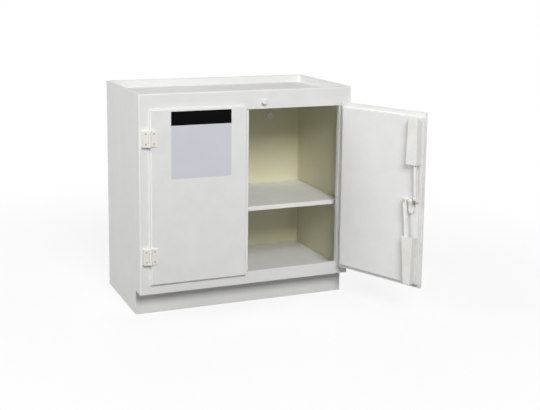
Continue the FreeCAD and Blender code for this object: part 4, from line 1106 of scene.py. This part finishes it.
# start, end, the two directions away from the corner, and the bead's radius
carcass_runs = [
    ((-SIDE, FRAME_REAR, TOP_FACE), (SIDE, FRAME_REAR, TOP_FACE), BACK, UP, TRAY_BEAD),
    ((-SIDE, BACK_FACE, TOP_FACE), (SIDE, BACK_FACE, TOP_FACE), FRONT, UP, TRAY_BEAD),
    ((-SIDE, FRAME_REAR, TOP_FACE), (-SIDE, BACK_FACE, TOP_FACE), RIGHT, UP, TRAY_BEAD),
    ((SIDE, FRAME_REAR, TOP_FACE), (SIDE, BACK_FACE, TOP_FACE), LEFT, UP, TRAY_BEAD),
    ((-SIDE, BACK_FACE, BASE_TOP), (SIDE, BACK_FACE, BASE_TOP), FRONT, UP, WALL_BEAD),
    ((SIDE, POST_REAR, BASE_TOP), (SIDE, BACK_FACE, BASE_TOP), LEFT, UP, WALL_BEAD),
    ((-SIDE, POST_REAR, BASE_TOP), (-SIDE, BACK_FACE, BASE_TOP), RIGHT, UP, WALL_BEAD),
    ((SIDE, BACK_FACE, OVER_SHELF), (SIDE, BACK_FACE, TOP_UNDER), LEFT, FRONT, WALL_BEAD),
    ((-SIDE, BACK_FACE, OVER_SHELF), (-SIDE, BACK_FACE, TOP_UNDER), RIGHT, FRONT, WALL_BEAD),
    ((SIDE, BACK_FACE, BASE_TOP), (SIDE, BACK_FACE, UNDER_CLEAT), LEFT, FRONT, WALL_BEAD),
    ((-SIDE, BACK_FACE, BASE_TOP), (-SIDE, BACK_FACE, UNDER_CLEAT), RIGHT, FRONT, WALL_BEAD),
    ((-SIDE, BACK_FACE, TOP_UNDER), (SIDE, BACK_FACE, TOP_UNDER), FRONT, DOWN, WALL_BEAD),
    ((SIDE, CLEAT_FRONT, UNDER_CLEAT), (SIDE, CLEAT_REAR, UNDER_CLEAT), LEFT, DOWN, SMALL_BEAD),
    ((-SIDE, CLEAT_FRONT, UNDER_CLEAT), (-SIDE, CLEAT_REAR, UNDER_CLEAT), RIGHT, DOWN, SMALL_BEAD),
    ((POST_SIDE, FRAME_REAR, BASE_TOP), (POST_SIDE, FRAME_REAR, TOP_UNDER), LEFT, BACK, SMALL_BEAD),
    (
        (-POST_SIDE, FRAME_REAR, BASE_TOP), (-POST_SIDE, FRAME_REAR, TOP_UNDER),
        RIGHT, BACK, SMALL_BEAD,
    ),
    (
        (-OUTER_SIDE, TOE_FACE, CARCASS_FOOT), (OUTER_SIDE, TOE_FACE, CARCASS_FOOT),
        FRONT, DOWN, SMALL_BEAD,
    ),
]
beads("carcass_weld_beads", carcass_runs, "cabinet")

# %% [markdown]
# ## Beads of the rod guides
#
# Both rod guides are welded to the right door along their long sides and at the nose.
# Their sides lean, so a table of directions would need an angle for every bead. It is
# simpler to list the corners and to take each wall direction at a right angle to its
# own edge, on the side away from the guide's middle.

# %% Guide beads
DOOR_INNER = -241.3

# corners in millimetres from the lever's hub: mouth, nose, nose, mouth
UPPER_GUIDE = [(18.0, 145.0), (11.1, 325.0), (-32.0, 323.0), (-34.0, 145.0)]
LOWER_GUIDE = [(27.0, -143.5), (12.6, -331.0), (-22.2, -331.0), (-27.0, -143.5)]


def guide_runs(corners):
    """Beads on the outside of a guide, from corner to corner."""
    runs = []
    middle = sum((Vector(corner) for corner in corners), Vector((0, 0))) / len(corners)
    for one, two in zip(corners, corners[1:]):
        along = (Vector(two) - Vector(one)).normalized()
        outward = Vector((along.y, -along.x))
        if outward.dot(Vector(one) - middle) < 0:
            outward = -outward
        start, end = ((HUB_X + x, DOOR_INNER, HUB_Z + z) for x, z in (one, two))
        runs.append((start, end, (outward.x, 0, outward.y), BACK, SMALL_BEAD))
    return runs


beads(
    "guide_weld_beads", guide_runs(UPPER_GUIDE) + guide_runs(LOWER_GUIDE),
    "right_door", carry=swing,
)

# %% [markdown]
# ## A rounded outline
#
# The left door carries a thin vinyl sign with rounded corners. A plain rectangle would
# be quicker, but even a corner of 3 mm softens the outline, and vinyl with sharp corners
# would peel. So each corner is a quarter circle of short steps.

# %% Rounded outline
CORNER_STEPS = 6


def rounded_outline(low_x, high_x, low_z, high_z, radii):
    """Points round a rectangle whose corners are rounded, from the lower left."""
    corners = [
        (low_x, low_z, 1, 1, math.pi),
        (high_x, low_z, -1, 1, 1.5 * math.pi),
        (high_x, high_z, -1, -1, 0.0),
        (low_x, high_z, 1, -1, 0.5 * math.pi),
    ]
    outline = []
    for (x, z, inward_x, inward_z, start), radius in zip(corners, radii):
        for step in range(CORNER_STEPS + 1):
            angle = start + math.pi / 2 * step / CORNER_STEPS
            outline.append((
                x + inward_x * radius + radius * math.cos(angle),
                z + inward_z * radius + radius * math.sin(angle),
            ))
    return outline


print("an outline has", 4 * (CORNER_STEPS + 1), "points")

# %% [markdown]
# ## A thin plate
#
# The sign could be a picture on the door's own surface, but a real one stands proud and
# catches light on its edge. So it is a plate: an outline, the same outline a little in
# front of it, and a narrow strip between the two.

# %% Draw a plate


def thin_plate(name, outline, back_y, thickness, surface):
    """A flat sheet with the given outline on the left door's face."""
    points = [Vector((x, back_y, z)) * MM for x, z in outline]
    points += [Vector((x, back_y - thickness, z)) * MM for x, z in outline]
    count = len(outline)
    faces = [tuple(range(count)), tuple(range(count, 2 * count))]
    for step in range(count):
        low, high = step, (step + 1) % count
        faces.append((low, high, high + count, low + count))
    piece(name, points, faces, surface, "left_door")


print("a plate has", 4 * (CORNER_STEPS + 1) + 2, "faces")

# %% [markdown]
# ## Vinyl
#
# The field is retro-reflective sheeting: under its clear face lie tiny glass beads,
# about 0.1 mm, which give a cool, faintly sparkling grey. A metallic shader would
# mirror the room and turn dark from most sides, so the beads are a speckle in the
# colour, drawn at 0.8 mm so that it shows. The band is plain black vinyl, calendered,
# with a soft sheen. Both take the slight ripple of a sheet that was stuck on by hand.

# %% Vinyl materials
GLASS_BEAD_MM = 0.8
RIPPLE_MM = 60
RIPPLE_DEPTH = 0.3 * MM
RIPPLE_STRENGTH = 0.5
VINYL_COAT_ROUGHNESS = 0.2


def vinyl(name, face, shade, roughness, coat, mirror):
    """Vinyl film with a fine speckle under its clear face."""
    material, tree = blank_material(name)
    place = node(tree, "ShaderNodeTexCoord").outputs["Object"]
    speck = node(tree, "ShaderNodeTexVoronoi", (), {
        "Vector": place,
        "Scale": per_metre(GLASS_BEAD_MM),
    })
    cloud = node(tree, "ShaderNodeTexNoise", (), {
        "Vector": place,
        "Scale": per_metre(RIPPLE_MM),
        "Detail": 3.0,
    })
    blend = node(tree, "ShaderNodeMath", {"operation": "MULTIPLY"}, {
        0: speck.outputs["Distance"],
        1: cloud.outputs["Fac"],
    })
    skin = node(tree, "ShaderNodeMix", {"data_type": "RGBA"}, {
        "Factor": blend.outputs[0],
        COLOUR_A: linear(face),
        COLOUR_B: linear(shade),
    })
    ripple = node(tree, "ShaderNodeBump", (), {
        "Height": cloud.outputs["Fac"],
        "Distance": RIPPLE_DEPTH,
        "Strength": RIPPLE_STRENGTH,
    })
    shader = node(tree, "ShaderNodeBsdfPrincipled", (), {
        "Base Color": skin.outputs[COLOUR_OUT],
        "Roughness": roughness,
        "IOR": PLASTIC_IOR,
        "Specular IOR Level": mirror,
        "Coat Weight": coat,
        "Coat Roughness": VINYL_COAT_ROUGHNESS,
        "Normal": ripple.outputs["Normal"],
    })
    node(tree, "ShaderNodeOutputMaterial", (), {"Surface": shader.outputs[0]})
    return material


silver_vinyl = vinyl("silver_reflective_vinyl", "#D5D7DE", "#C9CCD5", 0.38, 0.2, 0.5)
black_vinyl = vinyl("black_vinyl", "#050506", "#0B0B0D", 0.55, 0.0, 0.04)
print("vinyl:", silver_vinyl.name, black_vinyl.name)

# %% [markdown]
# ## Sign plate
#
# The sign is a silver-grey field with a black band along its top, and nothing more. One
# plate in two colours would be flat. It is drawn as two, with the band on top of the
# field, so that the band's lower edge catches a line of light. The band's lower corners
# are square, because it was cut across there.

# %% Sign field and band
DOOR_FACE = -266.7
SIGN_LEFT, SIGN_RIGHT, SIGN_LOW, SIGN_HIGH = -331.0, -81.0, 563.0, 831.0
BAND_HEIGHT = 55.5
FIELD_THICKNESS, BAND_THICKNESS = 0.4, 0.2
SIGN_CORNER = 3.0
SQUARE_CORNER = 0.01   # not quite zero, so that no two points of a corner meet

field = rounded_outline(SIGN_LEFT, SIGN_RIGHT, SIGN_LOW, SIGN_HIGH, [SIGN_CORNER] * 4)
thin_plate("sign_field", field, DOOR_FACE, FIELD_THICKNESS, silver_vinyl)
band = rounded_outline(
    SIGN_LEFT, SIGN_RIGHT, SIGN_HIGH - BAND_HEIGHT, SIGN_HIGH,
    [SQUARE_CORNER] * 2 + [SIGN_CORNER] * 2,
)
thin_plate("sign_band", band, DOOR_FACE - FIELD_THICKNESS, BAND_THICKNESS, black_vinyl)
print("sign is", SIGN_RIGHT - SIGN_LEFT, "by", SIGN_HIGH - SIGN_LOW, "mm")
